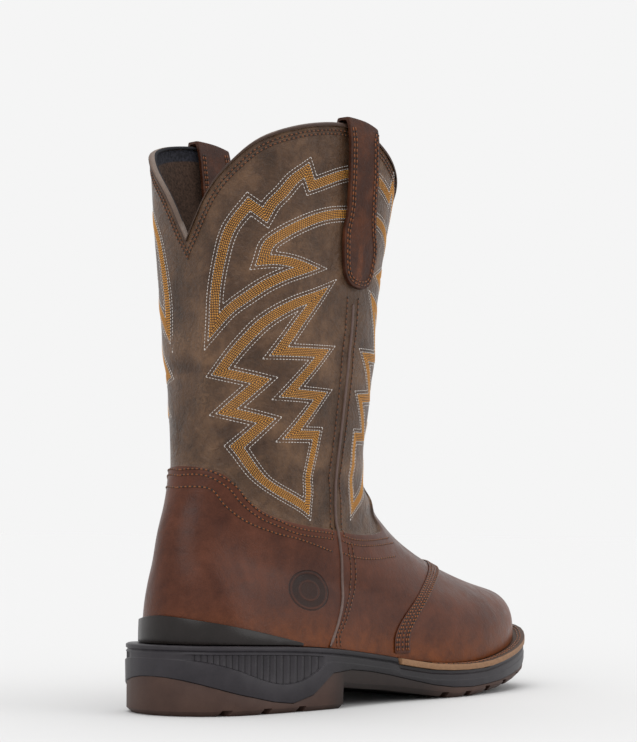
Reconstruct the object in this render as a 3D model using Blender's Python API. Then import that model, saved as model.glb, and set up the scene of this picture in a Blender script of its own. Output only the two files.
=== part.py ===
"""Western work boot, right foot: pull-on boot with a scalloped shaft, two pull straps and a welted sole.

Metres, +Z up. The toe points to -Y, the inner (medial) side faces +X and the outer (lateral) side -X.
The origin is the middle of the heel's flat tread. "along" is measured from the back of the heel to the toe.
"""
import math

import bmesh
import bpy
from mathutils import Vector
from mathutils.bvhtree import BVHTree

# Driving sizes
BOOT_LENGTH = 0.312        # outsole, back of the heel to the toe
BALL_WIDTH = 0.108         # outsole at the ball of the foot
BOOT_HEIGHT = 0.316        # floor to the highest point of the collar
HEEL_CENTRE = 0.045        # from the back of the heel to the middle of its tread
HEEL_BREAST = 0.0965       # from the back of the heel to the front of its block
EDGE_ROUND = 0.0030        # how far the outsole's lower edge is rounded off
BREAST_HEIGHT = 0.0115     # the waist's underside above the floor, just ahead of the heel
WALL = 0.0026              # shaft leather and lining together
OVERLAY = 0.0012           # vamp and counter lie this much proud of the shaft
STEP_SLOPE = 0.004         # share of the upper's rows over which the overlay's cut edge slopes
GAP = 0.0003               # between pieces that touch on the real boot
UPPER_GAP = 0.0004         # between the upper's feather edge and what it stands on
SHAFT_TWIST = 7.0          # degrees, the shaft's front turns to the outer side of the foot's axis
TWIST_CENTRE = 0.093       # along the boot, the axis of that turn
WELT_THICK = 0.0035
WELT_WIDTH = 0.0100
WELT_START = 0.145         # along the boot, where the welt ends at each side
INSOLE_THICK = 0.004
INSOLE_INSET = 0.0125      # from the sole's edge to the insole's edge
GUARD_THICK = 0.0016
GUARD_LENGTH = 0.0695      # along the boot, where the counter guard ends at each side
GUARD_BACK = 0.0150        # height of the guard above the midsole at the back
GUARD_FRONT = 0.0016       # and at its front ends
PIPING_RADIUS = 0.0010
BINDING_THICK = 0.0008
RIM_BAND = 0.04            # share of the upper's levels over which the rim's slope is measured
BINDING_DEPTH = 0.0022     # how far the binding reaches down each side of the collar
STRAP_WIDTH = 0.0255
STRAP_THICK = 0.0022
STRAP_ALONG = {-1: 0.0975, 1: 0.1098}    # along the boot, middle of the outer and the inner strap
SADDLE_SIDE = 0.153        # along the boot, where the saddle seam meets the sole
SADDLE_TOP = 0.231         # and where it crosses the top of the forefoot
SADDLE_WIDTH = 0.0125
SADDLE_THICK = 0.0005
SADDLE_CORE = 0.034        # height from which the strip's sections fan out
SADDLE_REACH = 99.0        # degrees from the top to each end of the strip
RIB_COUNT = 22             # on each side of the heel
RIB_DEPTH = 0.0013
LUG_DEPTH = 0.0032
LUG_GROOVE = 0.0050
LUG_START = 0.012          # the tread's middle strip, this far each side, is not cut
LUG_REACH = 0.40           # share of BALL_WIDTH that a groove runs from there
PANEL_START = 0.010        # share of BOOT_LENGTH, the ribbed panel's back end
PANEL_END = 0.268          # and its front end
PANEL_SHALLOW = 0.0025     # its height at the ends
PANEL_DEEP = 0.0125        # and how much more in the middle
SEAM_SHIFT = 0.0145        # the inner side seam is this far ahead of the outer one
WELT_OUTSET = 0.0012       # the welt stands proud of the sole's edge

# Half widths of the outsole. along: share of BOOT_LENGTH; outer, inner: shares of BALL_WIDTH. The heel
# lies to the inner side of the line from heel to toe, as on any right boot.
OUTLINE = [
    dict(along=0.000, outer=-0.070, inner=0.070),
    dict(along=0.010, outer=0.080, inner=0.215),
    dict(along=0.038, outer=0.213, inner=0.336),
    dict(along=0.090, outer=0.310, inner=0.422),
    dict(along=0.160, outer=0.362, inner=0.448),
    dict(along=0.256, outer=0.410, inner=0.424),
    dict(along=0.306, outer=0.420, inner=0.400),
    dict(along=0.385, outer=0.421, inner=0.355),
    dict(along=0.480, outer=0.440, inner=0.352),
    dict(along=0.577, outer=0.482, inner=0.408),
    dict(along=0.657, outer=0.505, inner=0.463),
    dict(along=0.737, outer=0.500, inner=0.495),
    dict(along=0.817, outer=0.463, inner=0.483),
    dict(along=0.891, outer=0.392, inner=0.425),
    dict(along=0.942, outer=0.302, inner=0.345),
    dict(along=0.975, outer=0.205, inner=0.255),
    dict(along=0.994, outer=0.080, inner=0.135),
    dict(along=1.000, outer=-0.028, inner=0.028),
]

# Heights of the sole's layers, shares of BOOT_HEIGHT. tread: underside; seam: outsole to midsole;
# feather: top of the midsole, where the upper stands.
SOLE = [
    dict(along=0.000, tread=0.000, seam=0.066, feather=0.117),
    dict(along=0.035, tread=0.000, seam=0.051, feather=0.116),
    dict(along=0.080, tread=0.000, seam=0.036, feather=0.115),
    dict(along=0.131, tread=0.000, seam=0.025, feather=0.113),
    dict(along=0.175, tread=0.000, seam=0.016, feather=0.111),
    dict(along=0.201, tread=0.000, seam=0.017, feather=0.110),
    dict(along=0.240, tread=0.000, seam=0.031, feather=0.107),
    dict(along=0.298, tread=0.000, seam=0.067, feather=0.102),
    dict(along=0.385, tread=0.028, seam=0.060, feather=0.091),
    dict(along=0.480, tread=0.018, seam=0.043, feather=0.077),
    dict(along=0.545, tread=0.009, seam=0.029, feather=0.066),
    dict(along=0.610, tread=0.000, seam=0.020, feather=0.061),
    dict(along=0.672, tread=0.000, seam=0.018, feather=0.060),
    dict(along=0.710, tread=0.004, seam=0.020, feather=0.061),
    dict(along=0.760, tread=0.009, seam=0.024, feather=0.067),
    dict(along=0.830, tread=0.017, seam=0.033, feather=0.077),
    dict(along=0.900, tread=0.030, seam=0.046, feather=0.091),
    dict(along=0.960, tread=0.050, seam=0.065, feather=0.107),
    dict(along=1.000, tread=0.067, seam=0.080, feather=0.119),
]
WAIST_ROW = 8              # the row of SOLE at the waist, just ahead of the heel's breast

# Rings of the upper, from the sole to the collar. back, front: share of BOOT_LENGTH. low_back, low_side,
# low_front: height, share of BOOT_HEIGHT, above the feather line where foot is 1 and above the floor where
# it is 0. outer, inner: half widths, shares of BALL_WIDTH. square, point: exponents of the oval behind and
# ahead of its middle. foot: 1 follows the sole's outline and 0 is an oval. twist: share of SHAFT_TWIST
# ahead of the twist's axis. pinch: share by which the heel is narrower.
RINGS = [
    dict(back=0.036, front=0.963, low_back=0.000, low_side=0.000, low_front=0.000,
         outer=0.428, inner=0.424, square=2.3, point=2.3, foot=1.00, twist=0.0, pinch=0.07),
    dict(back=0.035, front=0.963, low_back=0.036, low_side=0.031, low_front=0.031,
         outer=0.432, inner=0.430, square=2.3, point=2.3, foot=1.00, twist=0.0, pinch=0.12),
    dict(back=0.035, front=0.950, low_back=0.076, low_side=0.066, low_front=0.065,
         outer=0.416, inner=0.416, square=2.3, point=2.3, foot=1.00, twist=0.0, pinch=0.16),
    dict(back=0.037, front=0.898, low_back=0.131, low_side=0.116, low_front=0.105,
         outer=0.372, inner=0.374, square=2.3, point=2.3, foot=0.85, twist=0.0, pinch=0.18),
    dict(back=0.042, front=0.776, low_back=0.210, low_side=0.170, low_front=0.182,
         outer=0.330, inner=0.330, square=2.3, point=2.1, foot=0.45, twist=0.0, pinch=0.17),
    dict(back=0.052, front=0.640, low_back=0.288, low_side=0.240, low_front=0.255,
         outer=0.303, inner=0.300, square=2.3, point=2.0, foot=0.15, twist=0.1, pinch=0.14),
    dict(back=0.068, front=0.543, low_back=0.346, low_side=0.302, low_front=0.325,
         outer=0.302, inner=0.294, square=2.2, point=2.0, foot=0.0, twist=0.3, pinch=0.10),
    dict(back=0.085, front=0.485, low_back=0.402, low_side=0.372, low_front=0.394,
         outer=0.326, inner=0.305, square=2.2, point=2.1, foot=0.0, twist=0.6, pinch=0.04),
    dict(back=0.095, front=0.466, low_back=0.464, low_side=0.448, low_front=0.465,
         outer=0.366, inner=0.336, square=2.3, point=2.3, foot=0.0, twist=0.9, pinch=0.0),
    dict(back=0.099, front=0.470, low_back=0.538, low_side=0.540, low_front=0.548,
         outer=0.411, inner=0.376, square=2.4, point=2.4, foot=0.0, twist=1.0, pinch=0.0),
    dict(back=0.100, front=0.471, low_back=0.618, low_side=0.640, low_front=0.630,
         outer=0.444, inner=0.428, square=2.5, point=2.4, foot=0.0, twist=1.0, pinch=0.0),
    dict(back=0.098, front=0.476, low_back=0.706, low_side=0.775, low_front=0.715,
         outer=0.473, inner=0.488, square=2.6, point=2.4, foot=0.0, twist=1.0, pinch=0.0),
    dict(back=0.094, front=0.504, low_back=0.800, low_side=1.000, low_front=0.810,
         outer=0.536, inner=0.547, square=2.7, point=2.5, foot=0.0, twist=1.0, pinch=0.0),
]

# The collar's rise from its back notch, 0, to the top of the scallop, 1. turn: share of the way round from
# the heel to the toe.
SCALLOP = [
    dict(turn=0.00, rise=0.00),
    dict(turn=0.02, rise=0.24),
    dict(turn=0.05, rise=0.43),
    dict(turn=0.12, rise=0.65),
    dict(turn=0.19, rise=0.81),
    dict(turn=0.27, rise=0.90),
    dict(turn=0.37, rise=0.97),
    dict(turn=0.46, rise=1.00),
    dict(turn=0.54, rise=0.98),
    dict(turn=0.63, rise=0.87),
    dict(turn=0.74, rise=0.70),
    dict(turn=0.84, rise=0.52),
    dict(turn=0.93, rise=0.33),
    dict(turn=0.98, rise=0.17),
    dict(turn=1.00, rise=0.05),
]

# Top edge of the counter and the vamp, which meet at the side seams. turn: share of the way round from
# the heel to the toe; height: share of BOOT_HEIGHT.
OVERLAY_EDGE = [
    dict(turn=0.000, height=0.413),
    dict(turn=0.070, height=0.412),
    dict(turn=0.140, height=0.407),
    dict(turn=0.205, height=0.394),
    dict(turn=0.250, height=0.368),
    dict(turn=0.300, height=0.347),
    dict(turn=0.385, height=0.325),
    dict(turn=0.545, height=0.305),
    dict(turn=0.610, height=0.297),
    dict(turn=0.700, height=0.294),
    dict(turn=0.770, height=0.298),
    dict(turn=0.810, height=0.320),
    dict(turn=0.850, height=0.364),
    dict(turn=0.910, height=0.392),
    dict(turn=1.000, height=0.400),
]

# Path of a pull strap. height: above the collar, share of BOOT_HEIGHT; stand: share of STRAP_THICK off the
# wall's outer face where side is 1 and off its inner face where side is -1; width: share of STRAP_WIDTH;
# lean: towards the heel, share of STRAP_WIDTH.
STRAP_PATH = [
    dict(height=-0.2710, stand=0.27, side=1, width=0.30, lean=0.06),
    dict(height=-0.2590, stand=0.23, side=1, width=0.76, lean=0.02),
    dict(height=-0.2340, stand=0.23, side=1, width=1.00, lean=-0.03),
    dict(height=-0.1920, stand=0.30, side=1, width=1.16, lean=-0.05),
    dict(height=-0.1700, stand=0.50, side=1, width=1.16, lean=-0.04),
    dict(height=-0.1540, stand=0.92, side=1, width=0.88, lean=0.05),
    dict(height=-0.1060, stand=1.45, side=1, width=0.88, lean=0.12),
    dict(height=-0.0500, stand=1.55, side=1, width=0.88, lean=0.17),
    dict(height=-0.0120, stand=1.27, side=1, width=0.90, lean=0.20),
    dict(height=0.0076, stand=0.73, side=1, width=0.92, lean=0.22),
    dict(height=0.0076, stand=0.55, side=-1, width=0.94, lean=0.22),
    dict(height=-0.0120, stand=1.18, side=-1, width=0.94, lean=0.21),
    dict(height=-0.0630, stand=1.27, side=-1, width=0.94, lean=0.18),
    dict(height=-0.1270, stand=0.91, side=-1, width=0.94, lean=0.15),
    dict(height=-0.1960, stand=0.36, side=-1, width=0.94, lean=0.15),
]

# Side seam. along: share of BOOT_LENGTH; height: share of BOOT_HEIGHT.
SIDE_SEAM = [
    dict(height=0.118, along=0.292),
    dict(height=0.150, along=0.322),
    dict(height=0.200, along=0.353),
    dict(height=0.250, along=0.352),
    dict(height=0.300, along=0.337),
    dict(height=0.350, along=0.324),
    dict(height=0.420, along=0.314),
    dict(height=0.490, along=0.311),
    dict(height=0.560, along=0.309),
    dict(height=0.640, along=0.312),
    dict(height=0.698, along=0.312),
]

# Transverse grooves of the tread. along: share of BOOT_LENGTH, at the middle of the sole; slant: degrees.
GROOVES = [
    dict(along=0.062, slant=0),
    dict(along=0.135, slant=0),
    dict(along=0.210, slant=0),
    dict(along=0.600, slant=10),
    dict(along=0.665, slant=10),
    dict(along=0.730, slant=10),
    dict(along=0.795, slant=10),
    dict(along=0.860, slant=8),
    dict(along=0.920, slant=6),
]

RING_POINTS = 60           # round the upper
LOWER_ROWS = 12            # sole to the overlay's edge
SHAFT_ROWS = 10            # overlay's edge to the collar
INNER_ROWS = 14            # collar down to the insole
SOLE_STATIONS = 28         # along the sole


def smooth_between(before, start, end, after, share):
    """Catmull-Rom value between start and end."""
    slope_start = (end - before) / 2
    slope_end = (after - start) / 2
    square = share * share
    cube = square * share
    return ((2 * cube - 3 * square + 1) * start + (cube - 2 * square + share) * slope_start
            + (3 * square - 2 * cube) * end + (cube - square) * slope_end)


def turn_of(along):
    """Turn, 0 at the back and 1 at the front, of a share along an oval."""
    return math.acos(1 - 2 * min(max(along, 0), 1)) / math.pi


def along_of(turn):
    """Share along an oval at a turn between its back and its front."""
    return (1 - math.cos(math.pi * turn)) / 2


def look_up(table, key, column, value):
    """Piecewise smooth value of a column, with limited slopes so that no bump appears between rows."""
    keys = [row[key] for row in table]
    levels = [row[column] for row in table]
    value = min(max(value, keys[0]), keys[-1])
    spot = max(i for i in range(len(keys) - 1) if keys[i] <= value or i == 0)
    span = keys[spot + 1] - keys[spot]
    share = (value - keys[spot]) / span
    rise = (levels[spot + 1] - levels[spot]) / span
    before = (levels[spot] - levels[spot - 1]) / (keys[spot] - keys[spot - 1]) if spot > 0 else rise
    after = rise
    if spot + 2 < len(keys):
        after = (levels[spot + 2] - levels[spot + 1]) / (keys[spot + 2] - keys[spot + 1])
    slope_start = 2 * before * rise / (before + rise) if before * rise > 0 else 0
    slope_end = 2 * after * rise / (after + rise) if after * rise > 0 else 0
    if spot == 0:
        slope_start = rise
    if spot + 2 == len(keys):
        slope_end = rise
    square = share * share
    cube = square * share
    return ((2 * cube - 3 * square + 1) * levels[spot]
            + (cube - 2 * square + share) * slope_start * span
            + (3 * square - 2 * cube) * levels[spot + 1]
            + (cube - square) * slope_end * span)


OUTLINE_TURNS = [dict(row, turn=turn_of(row["along"])) for row in OUTLINE]


def half_width(side, turn):
    """Signed X of the sole's edge; side is -1 for the outer and +1 for the inner edge."""
    column = "outer" if side < 0 else "inner"
    return side * BALL_WIDTH * look_up(OUTLINE_TURNS, "turn", column, turn)


def sole_height(column, along):
    """Height of a layer of the sole, straight between the stations that all layers share."""
    place = turn_of(along) * SOLE_STATIONS
    low = min(int(place), SOLE_STATIONS - 1)
    start = along_of(low / SOLE_STATIONS)
    end = along_of((low + 1) / SOLE_STATIONS)
    share = (min(max(along, 0), 1) - start) / (end - start)
    first = look_up(SOLE, "along", column, start)
    last = look_up(SOLE, "along", column, end)
    return BOOT_HEIGHT * (first + (last - first) * share)


def world_y(along_metres):
    return HEEL_CENTRE - along_metres


def along_at(y):
    """Share of BOOT_LENGTH from the back of the heel."""
    return (HEEL_CENTRE - y) / BOOT_LENGTH


def edge_point(side, turn, outset=0.0):
    """Point of the sole's outline, moved outward by outset, as (x, y)."""
    step = 0.004
    low = max(turn - step, 0)
    high = min(turn + step, 1)
    here = Vector((half_width(side, turn), world_y(BOOT_LENGTH * along_of(turn))))
    back = Vector((half_width(side, low), world_y(BOOT_LENGTH * along_of(low))))
    ahead = Vector((half_width(side, high), world_y(BOOT_LENGTH * along_of(high))))
    run = ahead - back
    normal = Vector((-run.y, run.x)) * side
    if turn < step:
        normal = Vector((0, 1))
    if turn > 1 - step:
        normal = Vector((0, -1))
    return here + normal.normalized() * outset


def ring_columns(level):
    """Columns of RINGS at a level between 0 (sole) and 1 (collar)."""
    place = level * (len(RINGS) - 1)
    spot = min(int(place), len(RINGS) - 2)
    share = place - spot
    rows = [RINGS[min(max(spot + shift, 0), len(RINGS) - 1)] for shift in (-1, 0, 1, 2)]
    return {name: smooth_between(*(row[name] for row in rows), share) for name in RINGS[0]}


def collar_rise(turn):
    """Rise of the collar between its notches, 0 at the notch and 1 at the top of the scallop."""
    return look_up(SCALLOP, "turn", "rise", turn)


WIDEST = {-1: max(row["outer"] for row in OUTLINE), 1: max(row["inner"] for row in OUTLINE)}


def upper_point(side, turn, level):
    """Point on the upper's inner face, which is the surface of the last and the leg."""
    ring = ring_columns(level)
    share = along_of(turn)
    along = ring["back"] + (ring["front"] - ring["back"]) * share
    foot = min(max(ring["foot"], 0), 1)
    column = "outer" if side < 0 else "inner"
    reach = ring[column]
    power = ring["square"] if share < 0.5 else ring["point"]
    oval = reach * max(1 - abs(2 * share - 1) ** power, 0) ** (1 / power)
    shape = look_up(OUTLINE_TURNS, "turn", column, turn) / WIDEST[side]
    from_axis = BOOT_LENGTH * along - TWIST_CENTRE
    twist = math.radians(SHAFT_TWIST) * (1 if from_axis < 0 else ring["twist"])
    oval_x = side * BALL_WIDTH * oval
    turned_x = oval_x * math.cos(twist) - from_axis * math.sin(twist)
    turned_along = TWIST_CENTRE + from_axis * math.cos(twist) + oval_x * math.sin(twist)
    x = turned_x + (side * BALL_WIDTH * reach * shape - turned_x) * foot
    x -= side * BALL_WIDTH * oval * ring["pinch"] * (1 - share) ** 2
    place = turned_along + (BOOT_LENGTH * along - turned_along) * foot
    middle = 2 * ring["low_side"] - (ring["low_back"] + ring["low_front"]) / 2
    lift = (ring["low_back"] * (1 - share) ** 2 + ring["low_front"] * share ** 2
            + middle * 2 * share * (1 - share))
    if level > 0.75:
        blend = (level - 0.75) / 0.25
        gain = ring["low_side"] - ring["low_back"]
        peak = ring["low_back"] + gain * collar_rise(turn)
        lift += (peak - lift) * blend * blend * (3 - 2 * blend)
    height = foot * sole_height("feather", along) + BOOT_HEIGHT * lift
    return Vector((x, world_y(place), height))


def upper_normal(side, turn, level):
    """Outward normal of the upper's inner face."""
    step = 0.01
    low = max(level - step, 0)
    high = min(level + step, 1)
    if turn < step or turn > 1 - step:
        near = step if turn < step else 1 - step
        across = upper_point(1, near, level) - upper_point(-1, near, level)
        if turn > 0.5:
            across = -across
    else:
        across = (upper_point(side, turn + step, level) - upper_point(side, turn - step, level)) * side
    rise = upper_point(side, turn, high) - upper_point(side, turn, low)
    return rise.cross(across).normalized()


def edge_level(side, turn):
    """Level at which the overlay's top edge crosses this turn."""
    target = BOOT_HEIGHT * look_up(OVERLAY_EDGE, "turn", "height", turn)
    low = 0.1
    high = 0.8
    for _ in range(30):
        middle = (low + high) / 2
        if upper_point(side, turn, middle).z < target:
            low = middle
        else:
            high = middle
    return (low + high) / 2


def ring_place(index):
    """Side and turn of a point round a ring; 0 is the heel, half way round is the toe, outer side first."""
    half = RING_POINTS // 2
    index %= RING_POINTS
    if index <= half:
        return -1, index / half
    return 1, (RING_POINTS - index) / half


def sheet(name, columns, rows, place, wrap_columns=False, wrap_rows=False):
    """A grid whose points place(column, row) sets; where it wraps, its last line closes on its first."""
    mesh = bmesh.new()
    across = columns + 1 if wrap_columns else columns
    down = rows + 1 if wrap_rows else rows
    grid = bmesh.ops.create_grid(mesh, x_segments=across - 1, y_segments=down - 1, size=1)
    order = sorted(grid["verts"], key=lambda v: (round(v.co.y, 5), round(v.co.x, 5)))
    for number, vert in enumerate(order):
        vert.co = place(number % across % columns, number // across % rows)
    bmesh.ops.remove_doubles(mesh, verts=mesh.verts, dist=0.00005)
    data = bpy.data.meshes.new(name)
    mesh.to_mesh(data)
    mesh.free()
    part = bpy.data.objects.new(name, data)
    bpy.context.collection.objects.link(part)
    return part


def close_up(part):
    """Fill open ends and turn every face outward."""
    mesh = bmesh.new()
    mesh.from_mesh(part.data)
    rim = [edge for edge in mesh.edges if edge.is_boundary]
    if rim:
        bmesh.ops.holes_fill(mesh, edges=rim, sides=0)
    bmesh.ops.dissolve_degenerate(mesh, edges=mesh.edges, dist=0.00002)
    bmesh.ops.triangulate(mesh, faces=mesh.faces)
    bmesh.ops.recalc_face_normals(mesh, faces=mesh.faces)
    mesh.to_mesh(part.data)
    mesh.free()


def apply_modifiers(part):
    bpy.ops.object.select_all(action="DESELECT")
    part.select_set(True)
    bpy.context.view_layer.objects.active = part
    for modifier in list(part.modifiers):
        bpy.ops.object.modifier_apply(modifier=modifier.name)


def material(name, colour, roughness, metallic=0.0):
    leather = bpy.data.materials.new(name)
    leather.use_nodes = True
    shader = leather.node_tree.nodes["Principled BSDF"]
    shader.inputs["Base Color"].default_value = (*colour, 1)
    shader.inputs["Roughness"].default_value = roughness
    shader.inputs["Metallic"].default_value = metallic
    return leather


def upper():
    """Shaft, vamp and counter as one hollow wall, with the overlay as a step in it."""
    edges = {}
    for index in range(RING_POINTS):
        side, turn = ring_place(index)
        edges[index] = edge_level(side, turn)
    outer_rows = LOWER_ROWS + 1 + SHAFT_ROWS
    rows = outer_rows + INNER_ROWS

    def place(column, row):
        side, turn = ring_place(column)
        edge = edges[column]
        if row <= LOWER_ROWS:
            level = edge * row / LOWER_ROWS
            outward = WALL + OVERLAY
        elif row < outer_rows:
            level = edge + (1 - edge) * (row - LOWER_ROWS - 1) / (SHAFT_ROWS - 1)
            level += STEP_SLOPE * (row == LOWER_ROWS + 1)
            outward = WALL
        else:
            level = 1 - (row - outer_rows) / (INNER_ROWS - 1)
            outward = 0
        point = upper_point(side, turn, level)
        normal = upper_normal(side, turn, level)
        if level < 0.12:
            normal = Vector((normal.x, normal.y, 0)).normalized()
        point = point + normal * outward
        if row in (0, rows - 1):
            point.z = sole_height("feather", along_at(point.y)) + UPPER_GAP
        return point

    part = sheet("upper", RING_POINTS, rows, place, wrap_columns=True, wrap_rows=True)
    close_up(part)
    part.data.materials.append(material("Shaft leather", (0.094, 0.058, 0.036), 0.55))
    return part


def sole_stations():
    """Turns of the stations along the sole."""
    return [i / SOLE_STATIONS for i in range(SOLE_STATIONS + 1)]


def sole_body(name, rows, turns):
    """Closed body on the sole's outline.

    Each row is a function that takes the side, the station's turn and along, and the along of the point
    itself, and gives the outset and the height.
    """
    count = len(rows)

    def place(column, row):
        turn = turns[column]
        side = -1 if row < count else 1
        order = row if row < count else 2 * count - 1 - row
        along = along_of(turn)
        outset, _ = rows[order](side, turn, along, along)
        x, y = edge_point(side, turn, outset)
        if column in (0, len(turns) - 1):
            x = (half_width(-1, turn) + half_width(1, turn)) / 2
        _, height = rows[order](side, turn, along, along_at(y))
        return Vector((x, y, height))

    part = sheet(name, len(turns), 2 * count, place, wrap_rows=True)
    close_up(part)
    return part


def heel_tread(along):
    """Underside of the sole, with the heel's upright breast."""
    if along * BOOT_LENGTH <= HEEL_BREAST:
        return 0.0
    ahead = sole_height("tread", along)
    waist = BOOT_HEIGHT * SOLE[WAIST_ROW]["tread"]
    share = (along - HEEL_BREAST / BOOT_LENGTH) / (SOLE[WAIST_ROW]["along"] - HEEL_BREAST / BOOT_LENGTH)
    if share < 1:
        return BREAST_HEIGHT + (waist - BREAST_HEIGHT) * share
    return ahead


def outsole():
    """Heel block, waist and forefoot tread in one piece of rubber."""
    breast = turn_of(HEEL_BREAST / BOOT_LENGTH)
    turns = sorted(set(sole_stations() + [breast, breast + 0.0015]))
    rows = [
        lambda side, turn, along, here: (-EDGE_ROUND, heel_tread(along)),
        lambda side, turn, along, here: (0.0, heel_tread(along) + EDGE_ROUND * 0.9),
        lambda side, turn, along, here: (0.0, sole_height("seam", here) - GAP),
    ]
    part = sole_body("outsole", rows, turns)
    cutters = []
    for number, groove in enumerate(GROOVES):
        centre_y = world_y(BOOT_LENGTH * groove["along"])
        floor = heel_tread(groove["along"])
        for side in (-1, 1):
            reach = BALL_WIDTH * LUG_REACH
            bpy.ops.mesh.primitive_cube_add(size=1)
            cutter = bpy.context.object
            cutter.name = f"groove_{number}_{side}"
            cutter.scale = (reach, LUG_GROOVE, 2 * LUG_DEPTH)
            cutter.rotation_euler = (0, 0, math.radians(groove["slant"]) * side)
            cutter.location = (side * (reach / 2 + LUG_START), centre_y, floor)
            cutters.append(cutter)
    for cutter in cutters:
        modifier = part.modifiers.new(cutter.name, "BOOLEAN")
        modifier.operation = "DIFFERENCE"
        modifier.object = cutter
        modifier.solver = "EXACT"
    apply_modifiers(part)
    for cutter in cutters:
        bpy.data.objects.remove(cutter)
    close_up(part)
    part.data.materials.append(material("Outsole rubber", (0.080, 0.050, 0.040), 0.7))
    return part


def rib_zone(along):
    """Underside of the ribbed panel at the heel's side, as a drop below the feather line, or None."""
    if not PANEL_START < along < PANEL_END:
        return None
    share = (along - PANEL_START) / (PANEL_END - PANEL_START)
    return PANEL_SHALLOW + PANEL_DEEP * math.sin(math.pi * share ** 1.45)


def midsole():
    """Midsole with a ledge and groove round it, a ribbed panel at each side of the heel and a welt rebate."""
    ribs_start = turn_of(PANEL_START + 0.002)
    ribs_end = turn_of(PANEL_END - 0.002)
    steps = 2 * RIB_COUNT
    rib_turns = [ribs_start + (ribs_end - ribs_start) * i / steps for i in range(steps + 1)]
    welt_turn = turn_of(WELT_START / BOOT_LENGTH)
    plain = [t for t in sole_stations() if not ribs_start - 0.006 < t < ribs_end + 0.006]
    turns = sorted(set(plain + rib_turns + [0, 1, welt_turn, welt_turn + 0.003]))

    def feather(along):
        return sole_height("feather", along)

    def in_welt(turn):
        return turn > welt_turn + 0.001

    def rib(turn):
        order = (turn - ribs_start) / (ribs_end - ribs_start) * steps
        if order < -0.01 or order > steps + 0.01:
            return 0.0
        crest = 0.35 if round(order) % 2 else 1.0
        fade = min(1, order / 4, (steps - order) / 2)
        return -RIB_DEPTH * crest * max(fade, 0)

    def top_outer(side, turn, along, here):
        if in_welt(turn):
            return -WELT_WIDTH - GAP, feather(here)
        return -0.0008, feather(here)

    def rebate_inner(side, turn, along, here):
        if in_welt(turn):
            return -WELT_WIDTH - GAP, feather(here) - WELT_THICK - GAP
        return 0.0002, feather(here) - 0.0006

    def rebate_outer(side, turn, along, here):
        if in_welt(turn):
            return -0.0004, feather(here) - WELT_THICK - GAP
        return 0.0002, feather(here) - 0.0022

    def groove(side, turn, along, here):
        share = 0.0024 if not in_welt(turn) else WELT_THICK + 0.0012
        return -0.0008, feather(here) - share - 0.0006

    def panel_top(side, turn, along, here):
        share = 0.0036 if not in_welt(turn) else WELT_THICK + 0.0022
        return 0.0003, feather(here) - share - 0.0006

    def panel_top_in(side, turn, along, here):
        outset, height = panel_top(side, turn, along, here)
        return outset + rib(turn), height - 0.0004

    def panel_bottom_in(side, turn, along, here):
        drop = rib_zone(along) or 0.0022
        outset, height = panel_top(side, turn, along, here)
        return outset + rib(turn), max(height - 0.0004 - drop, sole_height("seam", here) + 0.0012)

    def panel_bottom(side, turn, along, here):
        outset, height = panel_bottom_in(side, turn, along, here)
        return 0.0006, height - 0.0004

    def foot(side, turn, along, here):
        return 0.0004, sole_height("seam", here)

    rows = [foot, panel_bottom, panel_bottom_in, panel_top_in, panel_top, groove,
            rebate_outer, rebate_inner, top_outer]
    part = sole_body("midsole", rows, turns)
    part.data.materials.append(material("Midsole foam", (0.055, 0.050, 0.052), 0.65))
    return part


def welt():
    """Leather strip round the forefoot, stitched to the upper."""
    first = turn_of(WELT_START / BOOT_LENGTH) + 0.004
    half = 18
    path = [(-1, first + (1 - first) * i / half) for i in range(half + 1)]
    path += [(1, first + (1 - first) * i / half) for i in reversed(range(half))]

    def place(column, row):
        side, turn = path[column]
        outset = (-WELT_WIDTH, WELT_OUTSET, WELT_OUTSET, -WELT_WIDTH)[row]
        drop = (0, 0, WELT_THICK, WELT_THICK)[row]
        x, y = edge_point(side, turn, outset)
        if turn == 1:
            x = (half_width(-1, 1) + half_width(1, 1)) / 2
        return Vector((x, y, sole_height("feather", along_at(y)) - drop))

    part = sheet("welt", len(path), 4, place, wrap_rows=True)
    close_up(part)
    part.data.materials.append(material("Welt leather", (0.25, 0.145, 0.076), 0.6))
    return part


def insole():
    """Footbed inside the upper, on the midsole."""
    rows = [
        lambda side, turn, along, here: (-INSOLE_INSET, sole_height("feather", here) + GAP),
        lambda side, turn, along, here: (-INSOLE_INSET, sole_height("feather", here) + INSOLE_THICK - 0.001),
        lambda side, turn, along, here: (-INSOLE_INSET - 0.001, sole_height("feather", here) + INSOLE_THICK),
    ]
    part = sole_body("insole", rows, sole_stations())
    part.data.materials.append(material("Insole", (0.035, 0.030, 0.028), 0.85))
    return part


def find_on_upper(side, along, height):
    """Turn and level of the point on one side of the upper at a length along the boot and a height."""
    low = 0.0
    high = 1.0
    turn = 0.5
    for _ in range(24):
        level = (low + high) / 2
        back = 0.02
        front = 0.98
        for _ in range(24):
            turn = (back + front) / 2
            if HEEL_CENTRE - upper_point(side, turn, level).y < along:
                back = turn
            else:
                front = turn
        if upper_point(side, turn, level).z < height:
            low = level
        else:
            high = level
    return turn, (low + high) / 2


def on_upper(side, turn, level, outward):
    """Point off the upper's outer face, over the overlay where there is one."""
    above = level - edge_level(side, turn)
    step = OVERLAY * min(max(1 - above / 0.025, 0), 1)
    normal = upper_normal(side, turn, level)
    return upper_point(side, turn, level) + normal * (WALL + outward + step)


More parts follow.
